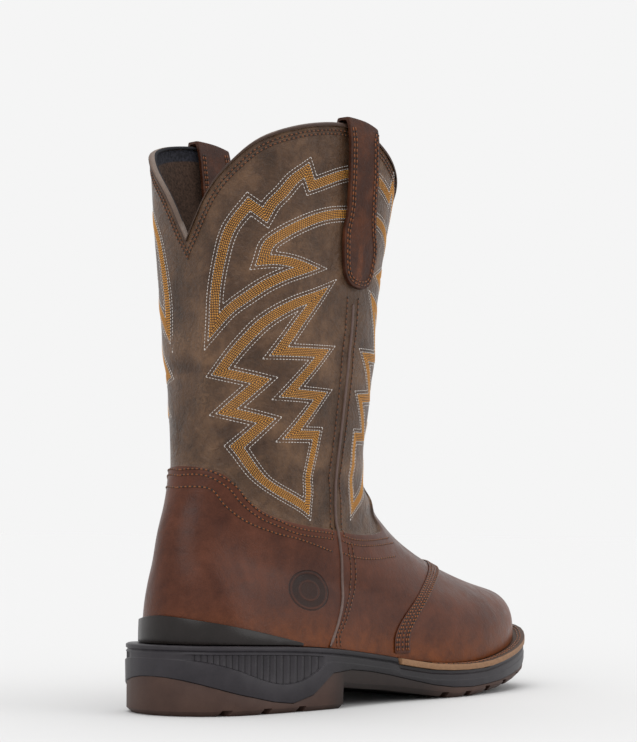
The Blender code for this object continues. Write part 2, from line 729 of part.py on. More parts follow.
def counter_guard():
    """Hard rubber band round the heel, standing on the midsole."""
    reach = turn_of(GUARD_LENGTH / BOOT_LENGTH)
    half = round(reach * RING_POINTS / 2)
    spots = [ring_place(i) for i in range(-half, half + 1)]
    layers = [(0, 0.0), (1, 0.0), (1, 0.5), (1, 1.0), (0, 1.0), (0, 0.5)]

    def place(column, row):
        side, turn = spots[column]
        layer, share = layers[row]
        ahead = turn / (half / (RING_POINTS / 2))
        tall = GUARD_BACK + (GUARD_FRONT - GUARD_BACK) * ahead ** 1.5
        base = upper_point(side, turn, 0)
        low = base.z + GAP * 2
        target = low + tall * share
        level = 0.0
        while upper_point(side, turn, level).z < target:
            level += 0.001
        outward = WALL + OVERLAY + GAP * 1.5 + GUARD_THICK * layer
        point = upper_point(side, turn, level)
        normal = upper_normal(side, turn, level)
        normal = Vector((normal.x, normal.y, 0)).normalized()
        point = point + normal * outward
        point.z = target
        return point

    part = sheet("counter_guard", len(spots), len(layers), place, wrap_rows=True)
    close_up(part)
    part.data.materials.append(material("Guard rubber", (0.040, 0.036, 0.030), 0.45))
    return part


def tube(name, points, radius):
    """Round cord through points."""
    curve = bpy.data.curves.new(name, "CURVE")
    curve.dimensions = "3D"
    curve.bevel_depth = radius
    curve.bevel_resolution = 1
    curve.use_fill_caps = True
    spline = curve.splines.new("POLY")
    spline.points.add(len(points) - 1)
    for spot, point in zip(spline.points, points):
        spot.co = (*point, 1)
    cord = bpy.data.objects.new(name, curve)
    bpy.context.collection.objects.link(cord)
    return cord


def piping(side):
    """Cord in a side seam, from the sole up to the pull strap's patch."""
    name = "piping_outer" if side < 0 else "piping_inner"
    count = 26
    low = SIDE_SEAM[0]["height"]
    high = SIDE_SEAM[-1]["height"]
    offset = SEAM_SHIFT if side > 0 else 0.0
    points = []
    for i in range(count + 1):
        height = low + (high - low) * i / count
        along = BOOT_LENGTH * look_up(SIDE_SEAM, "height", "along", height) + offset
        turn, level = find_on_upper(side, along, BOOT_HEIGHT * height)
        points.append(on_upper(side, turn, level, PIPING_RADIUS + GAP * 2.4))
    cord = tube(name, points, PIPING_RADIUS)
    cord.data.materials.append(material("Piping", (0.075, 0.062, 0.058), 0.6))
    return cord


def collar_binding():
    """Folded edge tape over the collar's rim."""
    inner = -GAP
    outer = WALL + GAP
    sections = [
        (outer, -BINDING_DEPTH), (outer + BINDING_THICK, -BINDING_DEPTH),
        (outer + BINDING_THICK, GAP), (WALL / 2, GAP + BINDING_THICK), (inner - BINDING_THICK, GAP),
        (inner - BINDING_THICK, -BINDING_DEPTH), (inner, -BINDING_DEPTH),
        (inner, GAP), (outer, GAP),
    ]

    def place(column, row):
        side, turn = ring_place(column)
        outward, drop = sections[row]
        top = upper_point(side, turn, 1)
        below = upper_point(side, turn, 1 - RIM_BAND)
        down = (below - top).normalized()
        level = 1 - RIM_BAND * max(-drop, 0) / (below - top).length
        point = upper_point(side, turn, level)
        point += upper_normal(side, turn, level) * outward
        return point - down * max(drop, 0) * 1.15

    part = sheet("collar_binding", RING_POINTS, len(sections), place, wrap_columns=True, wrap_rows=True)
    close_up(part)
    part.data.materials.append(material("Edge tape", (0.110, 0.090, 0.078), 0.6))
    return part


def pull_strap(side):
    """Leather loop sewn to the shaft outside and inside, over the collar."""
    name = "pull_strap_outer" if side < 0 else "pull_strap_inner"
    across = 4

    def near_face(column, row):
        spot = STRAP_PATH[row]
        shift = (column / (across - 1) - 0.5) * STRAP_WIDTH * spot["width"] - STRAP_WIDTH * spot["lean"]
        along = STRAP_ALONG[side] + shift
        turn, level = find_on_upper(side, along, BOOT_HEIGHT * 2)
        top = upper_point(side, turn, 1)
        above = BOOT_HEIGHT * spot["height"]
        if above < 0:
            turn, level = find_on_upper(side, along, top.z + above)
        base = upper_point(side, turn, level)
        normal = upper_normal(side, turn, level)
        normal = Vector((normal.x, normal.y, 0)).normalized()
        stand = STRAP_THICK * spot["stand"]
        outward = WALL + stand if spot["side"] > 0 else -stand
        point = base + normal * outward
        point.z = top.z + above
        return point

    grid = [[near_face(column, row) for row in range(len(STRAP_PATH))] for column in range(across)]

    def far_face(column, row):
        before = grid[column][max(row - 1, 0)]
        after = grid[column][min(row + 1, len(STRAP_PATH) - 1)]
        width = grid[-1][row] - grid[0][row]
        normal = width.cross(after - before).normalized() * side
        return grid[column][row] - normal * STRAP_THICK

    def place(column, row):
        if row < len(STRAP_PATH):
            return grid[column][row]
        return far_face(column, 2 * len(STRAP_PATH) - 1 - row)

    part = sheet(name, across, 2 * len(STRAP_PATH), place, wrap_rows=True)
    close_up(part)
    part.data.materials.append(material("Strap leather", (0.100, 0.045, 0.024), 0.55))
    return part


def saddle_strip(shell):
    """Raised strip sewn over the forefoot, from sole to sole."""
    tree = BVHTree.FromObject(shell, bpy.context.evaluated_depsgraph_get())
    steps = 34
    layers = [(-0.5, 0), (-0.5, 1), (0.5, 1), (0.5, 0)]

    def place(column, row):
        angle = math.radians(SADDLE_REACH * (2 * column / steps - 1))
        edge, layer = layers[row]
        rise = max(math.cos(angle), 0) ** 1.65
        along = SADDLE_SIDE + (SADDLE_TOP - SADDLE_SIDE) * rise + edge * SADDLE_WIDTH
        ray = Vector((math.sin(angle), 0, math.cos(angle)))
        core = Vector((0, world_y(along), SADDLE_CORE))
        hit, normal, _, _ = tree.ray_cast(core + ray * 0.15, -ray)
        return hit + normal * (GAP * 1.5 + SADDLE_THICK * layer)

    part = sheet("saddle_strip", steps + 1, len(layers), place, wrap_rows=True)
    close_up(part)
    part.data.materials.append(material("Vamp leather", (0.120, 0.055, 0.030), 0.5))
    return part


def clear():
    for item in list(bpy.data.objects):
        bpy.data.objects.remove(item)


def main():
    clear()
    shell = upper()
    outsole()
    midsole()
    welt()
    insole()
    counter_guard()
    collar_binding()
    saddle_strip(shell)
    for side in (-1, 1):
        piping(side)
        pull_strap(side)


main()
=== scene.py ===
# %% [markdown]
# # A western work boot, right foot
# A pull-on boot: a tall scalloped shaft of waxy brown leather, a reddish oiled vamp and counter, two pull
# straps, flame stitching in gold and white, and a welted rubber sole with a low heel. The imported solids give
# every place and size here. This file gives them their leather, thread, rubber and wear.

# %% Load the fixed frame
import math

import bmesh
import bpy
import numpy as np
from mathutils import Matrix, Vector
from mathutils.bvhtree import BVHTree


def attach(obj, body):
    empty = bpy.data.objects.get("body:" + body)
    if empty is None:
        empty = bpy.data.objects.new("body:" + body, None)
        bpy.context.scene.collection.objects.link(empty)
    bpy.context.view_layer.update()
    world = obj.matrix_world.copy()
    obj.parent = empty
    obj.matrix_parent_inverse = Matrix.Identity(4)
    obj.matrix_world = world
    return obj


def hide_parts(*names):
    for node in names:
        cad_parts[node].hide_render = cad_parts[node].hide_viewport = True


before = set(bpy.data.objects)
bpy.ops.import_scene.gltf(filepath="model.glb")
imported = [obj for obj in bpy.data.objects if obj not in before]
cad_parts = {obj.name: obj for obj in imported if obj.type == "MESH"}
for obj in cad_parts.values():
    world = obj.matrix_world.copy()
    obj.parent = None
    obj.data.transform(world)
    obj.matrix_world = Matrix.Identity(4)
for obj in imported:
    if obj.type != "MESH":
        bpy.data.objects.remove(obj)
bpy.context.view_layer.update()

MM = 0.001

# %% [markdown]
# ## The camera
# The photograph looks at the boot from behind and from its outer side, from a little above the ankle and
# slightly upward. A long lens keeps the boot's verticals upright, as in any catalogue picture.

# %% Camera
CAMERA_PLACE = Vector((-0.807, 0.941, 0.109))
CAMERA_LOOK = Vector((0.6162, -0.7855, 0.0594))
bpy.ops.object.camera_add(location=CAMERA_PLACE)
camera = bpy.context.object
camera.rotation_mode = "QUATERNION"
camera.rotation_quaternion = CAMERA_LOOK.to_track_quat("-Z", "Y")
camera.data.lens = 111.1
camera.data.sensor_width = 36
camera.data.clip_start = 0.05
camera.data.clip_end = 40
bpy.context.scene.camera = camera
print("camera distance", round((CAMERA_PLACE - Vector((0, -0.055, 0.16))).length, 3), "m")

# %% [markdown]
# ## Colour and node helpers
# Colours are picked as sRGB hex values, as on a colour chart, and turned into the linear values that the
# shader works with. One small function adds a node with its settings and its links, and four more add the
# nodes that every finish here uses: a noise, a stretched value, a blend of colours and a bump.

# %% Colour and node helpers


def linear(code):
    """Linear colour of an sRGB hex code."""
    parts = [int(code[i:i + 2], 16) / 255 for i in (1, 3, 5)]
    return tuple(c / 12.92 if c <= 0.04045 else ((c + 0.055) / 1.055) ** 2.4 for c in parts) + (1.0,)


def add_node(tree, kind, inputs=None, **settings):
    """Add a node; inputs maps a socket's name or number to a value or to the output that feeds it."""
    made = tree.nodes.new(kind)
    for name, value in settings.items():
        setattr(made, name, value)
    for name, value in (inputs or {}).items():
        if isinstance(value, bpy.types.NodeSocket):
            tree.links.new(value, made.inputs[name])
        else:
            made.inputs[name].default_value = value
    return made


def noise(tree, place, size_mm, detail, rough=0.5, warp=0.0):
    """Noise with features of a size."""
    return add_node(tree, "ShaderNodeTexNoise", {
        "Vector": place, "Scale": 1 / (size_mm * MM), "Detail": detail, "Roughness": rough,
        "Distortion": warp}).outputs["Fac"]


def stretch(tree, value, low, high, to_low=0.0, to_high=1.0):
    """A value taken from one range to another."""
    return add_node(tree, "ShaderNodeMapRange", {
        "Value": value, "From Min": low, "From Max": high,
        "To Min": to_low, "To Max": to_high}).outputs["Result"]


def blend(tree, factor, first, second, kind="MIX"):
    """Two colours, mixed by a factor."""
    return add_node(tree, "ShaderNodeMix", {"Factor": factor, 6: first, 7: second},
                    data_type="RGBA", blend_type=kind).outputs[2]


def bump(tree, height, strength, depth_mm, normal=None):
    """Normal of a relief with a depth, on top of another normal."""
    made = add_node(tree, "ShaderNodeBump", {
        "Height": height, "Strength": strength, "Distance": depth_mm * MM})
    if normal is not None:
        tree.links.new(normal, made.inputs["Normal"])
    return made.outputs["Normal"]


def times(tree, first, second, clamp=False):
    return add_node(tree, "ShaderNodeMath", {0: first, 1: second}, operation="MULTIPLY",
                    use_clamp=clamp).outputs["Value"]


def new_finish(name):
    """An empty material, its nodes, its Principled shader and the place on the object."""
    finish = bpy.data.materials.new(name)
    finish.use_nodes = True
    tree = finish.node_tree
    place = add_node(tree, "ShaderNodeTexCoord").outputs["Object"]
    return finish, tree, tree.nodes["Principled BSDF"], place


def settle(tree, shader, colour, normal, roughness, gloss):
    """Give a finish its colour, relief, roughness and gloss."""
    tree.links.new(colour, shader.inputs["Base Color"])
    tree.links.new(normal, shader.inputs["Normal"])
    shader.inputs["Roughness"].default_value = roughness
    shader.inputs["Specular IOR Level"].default_value = gloss


# %% [markdown]
# ## Leathers
# The shaft and the foot are both oiled pull-up leather: hide tanned with oil and wax, so that it pales where
# it bends or rubs. That gives large soft clouds of tone, a fine grain and faint scratches, and a broad dull
# gloss that breaks up over shallow puckers. The shaft's is an olive brown, rather dry; the vamp's is redder,
# smoother and waxier, and turns orange low down, where it was pulled tight over the last.

# %% Oiled leather


def oiled_leather(name, dark, middle, rubbed, low, cloud_mm, roughness, gloss, pucker_mm, wrinkle_mm):
    """Pull-up leather: clouds of tone, grain, faint scratches, paler rubbed crests and a warmer low edge."""
    finish, tree, shader, place = new_finish(name)
    clouds = noise(tree, place, cloud_mm, 3.0, 0.55, 0.8)
    streaks = noise(tree, place, 7, 4.0, 0.6, 0.4)
    scratch = noise(tree, place, 3.5, 5.0, 0.7, 2.0)
    puckers = noise(tree, place, pucker_mm, 2.0, 0.5, 0.5)
    wrinkles = noise(tree, place, 6, 6.0, 0.62, 1.6)
    grain = add_node(tree, "ShaderNodeTexVoronoi", {
        "Vector": place, "Scale": 1 / (1.2 * MM)}, feature="DISTANCE_TO_EDGE")
    tone = add_node(tree, "ShaderNodeMix", {"Factor": 0.32, 2: clouds, 3: streaks}).outputs[0]
    ramp = add_node(tree, "ShaderNodeValToRGB", {"Fac": tone})
    first, last = ramp.color_ramp.elements
    first.color, first.position = linear(dark), 0.36
    last.color, last.position = linear(rubbed), 0.78
    ramp.color_ramp.elements.new(0.50).color = linear(middle)
    worn = add_node(tree, "ShaderNodeAttribute", attribute_name="rub").outputs["Fac"]
    worn = times(tree, worn, stretch(tree, scratch, 0.36, 0.70, 0.15), clamp=True)
    colour = blend(tree, worn, ramp.outputs["Color"], linear(rubbed))
    near_sole = add_node(tree, "ShaderNodeAttribute", attribute_name="low").outputs["Fac"]
    colour = blend(tree, times(tree, near_sole, streaks), colour, linear(low))
    cell = stretch(tree, grain.outputs["Distance"], 0.0, 0.16, 0.86)
    colour = blend(tree, 1.0, colour, cell, "MULTIPLY")
    relief = add_node(tree, "ShaderNodeMath", {0: cell, 1: scratch}, operation="ADD").outputs["Value"]
    normal = bump(tree, puckers, 0.7, 2.2)
    normal = bump(tree, wrinkles, 0.8, wrinkle_mm, normal)
    normal = bump(tree, relief, 0.35, 0.25, normal)
    settle(tree, shader, colour, normal, roughness, gloss)
    dull = stretch(tree, streaks, 0.3, 0.7, roughness - 0.07, roughness + 0.09)
    tree.links.new(dull, shader.inputs["Roughness"])
    shader.inputs["IOR"].default_value = 1.47
    return finish


SHAFT_LEATHER = oiled_leather("oiled_leather_olive", "#302015", "#473223", "#7a5c43", "#5a4027",
                              34, 0.33, 0.29, 22, 1.6)
FOOT_LEATHER = oiled_leather("oiled_leather_red_brown", "#381a0f", "#4a2617", "#683a28", "#8a4a1c",
                             55, 0.35, 0.22, 60, 0.22)
STRAP_LEATHER = oiled_leather("oiled_leather_strap", "#2c160e", "#381e13", "#5e331c", "#5a3018",
                              16, 0.42, 0.20, 24, 0.7)
print("leathers", [m.name for m in (SHAFT_LEATHER, FOOT_LEATHER, STRAP_LEATHER)])

# %% [markdown]
# ## A clean copy of a solid
# The solids come as loose triangles. A copy of one is merged and turned back into quads, so that it can be
# subdivided, bevelled and shaped as if it had been modelled by hand. The copy then stands for the solid.

# %% Clean copies


def pick(piece):
    """Make a piece the only selected and active object."""
    bpy.ops.object.select_all(action="DESELECT")
    piece.hide_set(False)
    piece.select_set(True)
    bpy.context.view_layer.objects.active = piece


def clean_copy(node, name):
    """Merged copy of a CAD node in quads, riding on the boot in the node's place."""
    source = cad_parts[node]
    piece = source.copy()
    piece.data = source.data.copy()
    piece.name = name
    piece.data.name = name
    piece.parent = None
    for key in list(piece.keys()):
        del piece[key]
    bpy.context.scene.collection.objects.link(piece)
    piece.data.materials.clear()
    pick(piece)
    if piece.data.has_custom_normals:
        bpy.ops.mesh.customdata_custom_splitnormals_clear()
    bpy.ops.object.mode_set(mode="EDIT")
    bpy.ops.mesh.select_all(action="SELECT")
    bpy.ops.mesh.remove_doubles(threshold=0.00001)
    bpy.ops.mesh.tris_convert_to_quads(face_threshold=math.radians(60), shape_threshold=math.radians(75))
    bpy.ops.mesh.select_all(action="DESELECT")
    bpy.ops.object.mode_set(mode="OBJECT")
    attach(piece, "root")
    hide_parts(node)
    print(name, "quads", sum(len(p.vertices) == 4 for p in piece.data.polygons), "of",
          len(piece.data.polygons))
    return piece


def finish_with(piece, kind, **settings):
    """Add one modifier with its settings and apply it."""
    pick(piece)
    modifier = piece.modifiers.new(kind.lower(), kind)
    for name, value in settings.items():
        setattr(modifier, name, value)
    bpy.ops.object.modifier_apply(modifier=modifier.name)


def crease_sharp(piece, degrees, amount):
    """Crease the edges that turn by more than an angle, so that subdivision keeps them."""
    pick(piece)
    bpy.ops.object.mode_set(mode="EDIT")
    bpy.ops.mesh.select_all(action="DESELECT")
    bpy.ops.mesh.select_mode(type="EDGE")
    bpy.ops.mesh.edges_select_sharp(sharpness=math.radians(degrees))
    bpy.ops.transform.edge_crease(value=amount)
    bpy.ops.mesh.select_mode(type="FACE")
    bpy.ops.mesh.select_all(action="DESELECT")
    bpy.ops.object.mode_set(mode="OBJECT")


def smooth(piece, degrees=180):
    pick(piece)
    if degrees >= 180:
        bpy.ops.object.shade_smooth()
    else:
        bpy.ops.object.shade_smooth_by_angle(angle=math.radians(degrees))


# %% [markdown]
# ## The upper
# On the real boot the shaft, the vamp over the foot and the counter round the heel are cut from different
# hides and sewn together. The solid is one wall with a step where the vamp and counter lie on the shaft.
# Its copy is split into skins by growing a selection from one face up to the nearest sharp edge: the foot
# leather below the step, the shaft leather above it, and the lining inside.

# %% The upper's skins
upper = clean_copy("upper", "boot_upper")
upper.data.materials.append(SHAFT_LEATHER)
upper.data.materials.append(FOOT_LEATHER)


def face_near(piece, place, facing):
    """Index of the face nearest to a place whose normal looks a given way."""
    best = min(piece.data.polygons,
               key=lambda p: (p.center - place).length + (0.5 if p.normal.dot(facing) < 0.3 else 0))
    return best.index


def grow_skin(piece, seed, slot_number, degrees=34):
    """Give a material slot to the faces joined to a seed face without a sharp edge between."""
    pick(piece)
    for part in (*piece.data.polygons, *piece.data.edges, *piece.data.vertices):
        part.select = False
    piece.data.polygons[seed].select = True
    bpy.ops.object.mode_set(mode="EDIT")
    bpy.ops.mesh.select_mode(type="FACE")
    bpy.ops.mesh.faces_select_linked_flat(sharpness=math.radians(degrees))
    piece.active_material_index = slot_number
    bpy.ops.object.material_slot_assign()
    bpy.ops.mesh.select_all(action="DESELECT")
    bpy.ops.object.mode_set(mode="OBJECT")
    return sum(p.material_index == slot_number for p in piece.data.polygons)


foot_faces = grow_skin(upper, face_near(upper, Vector((-0.045, -0.02, 0.075)), Vector((-1, 0, 0))), 1)
print("foot faces", foot_faces, "of", len(upper.data.polygons))

# %% [markdown]
# ## The lining
# Inside, the collar has a band of dark fuzzy knit about 8 mm deep, and below it a brown brushed lining. Both
# are cloth, so they are dull. The attribute "below" holds how far a point lies under the collar's edge, as a
# share of the band's depth, and so draws the band's lower edge.

# %% Lining cloth


def lining_cloth(name, colour, lighter, band, band_lighter, thread_mm):
    """Brushed cloth with a band of another colour at its top."""
    finish, tree, shader, place = new_finish(name)
    fuzz = noise(tree, place, thread_mm, 4.0, 0.7)
    spread = stretch(tree, fuzz, 0.35, 0.65)
    low = blend(tree, spread, linear(colour), linear(lighter))
    high = blend(tree, spread, linear(band), linear(band_lighter))
    depth = add_node(tree, "ShaderNodeAttribute", attribute_name="below").outputs["Fac"]
    mixed = blend(tree, stretch(tree, depth, 0.95, 1.05), high, low)
    settle(tree, shader, mixed, bump(tree, fuzz, 0.8, 0.5), 0.92, 0.15)
    shader.inputs["Sheen Weight"].default_value = 0.06
    return finish


LINING = lining_cloth("brushed_lining_brown", "#2a1d15", "#4a372c", "#0b0b10", "#2c2c34", 1.6)
upper.data.materials.append(LINING)
lining_faces = grow_skin(upper, face_near(upper, Vector((0.05, -0.05, 0.18)), Vector((-1, 0, 0))), 2, 60)
print("lining faces", lining_faces)

# %% Subdivide the upper
crease_sharp(upper, 34, 0.85)
finish_with(upper, "SUBSURF", levels=2, render_levels=2)
print("upper faces", len(upper.data.polygons))

# %% [markdown]
# ## The shaft's own coordinates
# The leg is nearly round, so a place on it is an angle round its axis and a height. Each of the four panels
# runs from the middle of the back, or of the front, to a side seam. A place on a panel is then a share of
# that way and a height, and one drawing serves all four panels, turned over where needed.

# %% Places on the shaft
AXIS = Vector((0.0, -0.048))
BACK_TURN = -7.0
FRONT_TURN = 173.0


def shaft_turn(point):
    """Angle from the back towards the outer side, in degrees."""
    return math.degrees(math.atan2(-(point[0] - AXIS.x), point[1] - AXIS.y))


def turned(turn, start):
    """Angle from one direction to another, between -180 and 180 degrees."""
    return (turn - start + 180) % 360 - 180


def seam_line(node):
    """Heights and angles along a side seam, from its cord."""
    points = np.array([v.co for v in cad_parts[node].data.vertices])
    heights = np.linspace(points[:, 2].min() + 2 * MM, points[:, 2].max() - 2 * MM, 24)
    turns = []
    for height in heights:
        near = points[np.argsort(abs(points[:, 2] - height))[:16]].mean(axis=0)
        turns.append(shaft_turn(near))
    return heights, np.unwrap(np.array(turns), period=360)


SEAMS = {"outer": seam_line("piping_outer"), "inner": seam_line("piping_inner")}
PANELS = [("outer", "back"), ("inner", "back"), ("outer", "front"), ("inner", "front")]


def panel_turn(panel, share, height):
    """Angle of a share of the way from a panel's middle line to its side seam, at a height in metres."""
    side, facing = panel
    heights, turns = SEAMS[side]
    seam = float(np.interp(height, heights, turns))
    middle = BACK_TURN if facing == "back" else (FRONT_TURN if side == "outer" else FRONT_TURN - 360)
    return middle + (seam - middle) * share


def surface_tree(pieces):
    """One search tree over the final meshes of several pieces."""
    points = []
    faces = []
    for piece in pieces:
        start = len(points)
        points += [v.co.copy() for v in piece.data.vertices]
        faces += [[start + i for i in p.vertices] for p in piece.data.polygons]
    return BVHTree.FromPolygons(points, faces)


def radial(turn):
    """Level direction away from the axis at an angle."""
    angle = math.radians(turn)
    return Vector((-math.sin(angle), math.cos(angle), 0))


def on_shaft(tree, turn, height):
    """Point and normal of the outer surface at an angle and a height."""
    outward = radial(turn)
    start = Vector((AXIS.x, AXIS.y, height)) + outward * 0.2
    point, normal, _, _ = tree.ray_cast(start, -outward)
    if point is None or (point - start).dot(-outward) > 0.19:
        return None, None
    return point, normal


def in_shaft(tree, turn, height):
    """Point and normal of what the axis sees at an angle and a height."""
    start = Vector((AXIS.x, AXIS.y, height))
    point, normal, _, _ = tree.ray_cast(start, radial(turn))
    return point, normal


print("seam turns", [round(t) for t in SEAMS["outer"][1][::6]], [round(t) for t in SEAMS["inner"][1][::6]])

# %% [markdown]
# ## Creases and rubs
# A worn-in shaft isn't a smooth tube. Soft folds lie across it above the ankle, where it bends, and shallow
# hollows run down it. Each is listed by its angle, height, reach and depth, and pushes the wall in
# or out along its own direction. Where the wall is pushed out the wax is rubbed pale, so the same list also
# writes how worn each point is.
# Along the long upright ridge at the back, the pale crest is also a painted highlight.

# %% Creases
# angle and height of the middle, reach round the shaft in degrees, half height and depth in mm, slope
CREASES = [
    (150, 104, 46, 5.0, -1.5, 0.10), (172, 113, 50, 5.5, 1.1, 0.06), (180, 122, 48, 6.0, -1.5, 0.04),
    (176, 134, 42, 7.0, 0.9, -0.05), (165, 146, 40, 8.0, -1.2, -0.08), (205, 128, 34, 6.5, -0.9, 0.08),
    (60, 187, 34, 8.0, 0.7, -0.20), (52, 176, 30, 6.5, -0.7, -0.18), (20, 150, 26, 9.0, -0.8, 0.15),
    (-20, 196, 40, 10.0, 0.9, 0.10), (-16, 182, 34, 8.0, -1.0, 0.12), (-60, 150, 36, 9.0, -0.8, 0.10),
    (100, 196, 26, 9.0, -0.8, 0.10), (135, 190, 32, 9.0, 0.8, 0.10), (150, 178, 30, 8.0, -0.9, 0.12),
    (-120, 170, 36, 9.0, -0.9, -0.10), (-150, 186, 30, 9.0, 0.8, -0.1), (70, 128, 24, 8.0, -0.7, 0.2),
    (10, 228, 16, 26.0, -0.8, 0.0), (45, 245, 26, 18.0, 0.6, 0.3), (-45, 235, 24, 20.0, -0.7, 0.2),
    # next line first: the long ridge at 3 degrees is pale along its crest, a painted highlight as well as rub
    (3, 200, 7, 60.0, 0.9, 0.0), (24, 139, 20, 4.0, -1.0, 0.35), (38, 152, 16, 4.5, 0.8, 0.3),
    (112, 118, 18, 4.5, -1.1, -0.3), (120, 132, 16, 5.0, 0.9, -0.3), (72, 262, 18, 8.0, 0.6, -0.2),
]


def share_of(value):
    """A value kept between 0 and 1."""
    return min(max(value, 0), 1)


def crease_at(turn, height):
    """How far the wall moves out at a place on the shaft, in metres."""
    move = 0.0
    for middle, level, reach, half, depth, slope in CREASES:
        away = turned(turn, middle)
        if abs(away) < reach:
            across = (height / MM - level - slope * away) / half
            fade = math.cos(math.pi / 2 * away / reach) ** 2
            move += depth * MM * fade * (math.exp(-across * across) - 0.35 * math.exp(-(across / 2.2) ** 2))
    return move


FOOT_TOP, FOOT_EASE = 0.085, 0.015
CREASE_TOP, TOP_EASE = 0.285, 0.03
LOW_REACH = 0.024
INSTEP_TOP, INSTEP_FRONT = 0.16, -0.09


def shape_upper(piece):
    """Push the shaft's wall in and out, and note how worn each point is and how near to the sole."""
    rub = piece.data.attributes.new("rub", "FLOAT", "POINT")
    low = piece.data.attributes.new("low", "FLOAT", "POINT")
    sole = surface_tree([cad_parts["midsole"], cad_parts["welt"]])
    for vertex in piece.data.vertices:
        height = vertex.co.z
        if height < FOOT_TOP:
            rub.data[vertex.index].value = 0.15
            reach = sole.find_nearest(vertex.co)[3]
            low.data[vertex.index].value = 0.8 * share_of(1 - reach / LOW_REACH) ** 1.5
            continue
        move = crease_at(shaft_turn(vertex.co), height)
        ease = share_of((CREASE_TOP - height) / TOP_EASE) * share_of((height - FOOT_TOP) / FOOT_EASE)
        outward = Vector((vertex.co.x - AXIS.x, vertex.co.y - AXIS.y, 0)).normalized()
        if height < INSTEP_TOP and vertex.co.y < INSTEP_FRONT:
            outward = (outward + Vector((0, 0, 0.6))).normalized()
        vertex.co += outward * move * ease
        # outward moves are rubbed pale; along the long ridge at the back this paleness is also a painted
        # highlight
        rub.data[vertex.index].value = share_of(0.22 + move / MM)


shape_upper(upper)
smooth(upper, 40)
skin = surface_tree([upper])
print("upper box", [round(v / MM, 1) for v in upper.dimensions])

# %% [markdown]
# ## The collar's line and its dark band
# The collar dips to a sharp notch at the back and the front. Its height is found at each angle by halving,
# and serves twice: the lining's top 8 mm are the dark knit band, and the collar's stitches run below it.

# %% The collar's line
RIM_STEP = 1.5


def rim_height(turn):
    """Height of the collar at an angle."""
    low, high = 0.235, 0.325
    for _ in range(12):
        middle = (low + high) / 2
        if on_shaft(skin, turn, middle)[0] is None:
            high = middle
        else:
            low = middle
    return low


RIM_TURNS = np.arange(BACK_TURN - 180, BACK_TURN + 180 + RIM_STEP, RIM_STEP)
RIM_HEIGHTS = np.array([rim_height(turn) for turn in RIM_TURNS])
BAND_DEPTH = 0.008
below = upper.data.attributes.new("below", "FLOAT", "POINT")
for vertex in upper.data.vertices:
    turn = BACK_TURN + turned(shaft_turn(vertex.co), BACK_TURN)
    below.data[vertex.index].value = (np.interp(turn, RIM_TURNS, RIM_HEIGHTS) - vertex.co.z) / BAND_DEPTH
print("rim", round(RIM_HEIGHTS.min() / MM, 1), "to", round(RIM_HEIGHTS.max() / MM, 1), "mm")

# %% [markdown]
# ## Straps, binding, saddle strip and cords
# The pull straps are cut leather with a raw edge; the collar is bound with soft tape, painted paler on its
# fold as a highlight, and dark knit inside; a narrow strip is sewn over the forefoot; a cord of folded leather
# stands in each side seam. Their solids are right in shape, so copies only need rounding: sharp edges are
# creased and the copy is subdivided. Rounding draws wall and cord apart, so the cord is then set into the
# rounded wall.

# %% Straps, binding, saddle strip and cords


def plain_leather(name, colour, roughness, noise_mm=3.0):
    """Narrow leather or tape, with only a fine mottling."""
    finish, tree, shader, place = new_finish(name)
    mottle = noise(tree, place, noise_mm, 4.0, 0.65)
    low, high = (tuple(share * c for c in linear(colour)[:3]) + (1.0,) for share in (0.62, 1.35))
    settle(tree, shader, blend(tree, mottle, low, high), bump(tree, mottle, 0.5, 0.12), roughness, 0.25)
    return finish


BINDING_TAPE = plain_leather("bound_edge_tape", "#3b2a22", 0.5)
# the paler tape on the binding's fold is a painted highlight
BINDING_FOLD_HIGHLIGHT = plain_leather("bound_edge_tape_painted_highlight", "#5d4b3f", 0.45)
BINDING_KNIT = plain_leather("bound_edge_knit", "#17171c", 0.9)
CORD_LEATHER = plain_leather("folded_leather_cord", "#5f4d47", 0.40)

NOTCH_REACH = 1.2          # degrees to either side of a notch's middle
CORD_SUNK, CORD_LEVEL = 0.0008, 0.005
CORD_DROP, CORD_BEND = 0.005, 0.060


def seat_cord(cord):
    """Run a cord down to the sole and move it to the rounded wall, sunk in it a little at every height."""
    lowest = min(vertex.co.z for vertex in cord.data.vertices)
    for vertex in cord.data.vertices:
        vertex.co.z -= CORD_DROP * max((CORD_BEND - vertex.co.z) / (CORD_BEND - lowest), 0)
    stand = []
    for vertex in cord.data.vertices:
        spot, normal, _, _ = skin.find_nearest(vertex.co)
        stand.append((vertex.co.z, (vertex.co - spot).dot(normal)))
    stand = np.array(stand)
    for vertex in cord.data.vertices:
        level = stand[abs(stand[:, 0] - vertex.co.z) < CORD_LEVEL]
        vertex.co -= radial(shaft_turn(vertex.co)) * (level[:, 1].min() + CORD_SUNK)
    print(cord.name, "set in the wall; it stood at least", round(stand[:, 1].min() / MM, 2), "mm off")


SCUFF_TURN = 2.2
SCUFF_LOW, SCUFF_HIGH = 0.229, 0.252
straps = {}
for side in ("outer", "inner"):
    strap = clean_copy(f"pull_strap_{side}", f"strap_{side}")
    strap.data.materials.append(STRAP_LEATHER)
    crease_sharp(strap, 50, 0.8)
    finish_with(strap, "SUBSURF", levels=3, render_levels=3)
    rub = strap.data.attributes.new("rub", "FLOAT", "POINT")
    for vertex in strap.data.vertices:
        away = abs(turned(shaft_turn(vertex.co), float(np.interp(vertex.co.z, *SEAMS[side]))))
        scuffed = away < SCUFF_TURN and SCUFF_LOW < vertex.co.z < SCUFF_HIGH
        rub.data[vertex.index].value = 1.4 if scuffed else 0.2
    smooth(strap, 50)
    straps[side] = strap
    cord = clean_copy(f"piping_{side}", f"seam_cord_{side}")
    cord.data.materials.append(CORD_LEATHER)
    finish_with(cord, "SUBSURF", levels=1, render_levels=1)
    seat_cord(cord)
    smooth(cord)

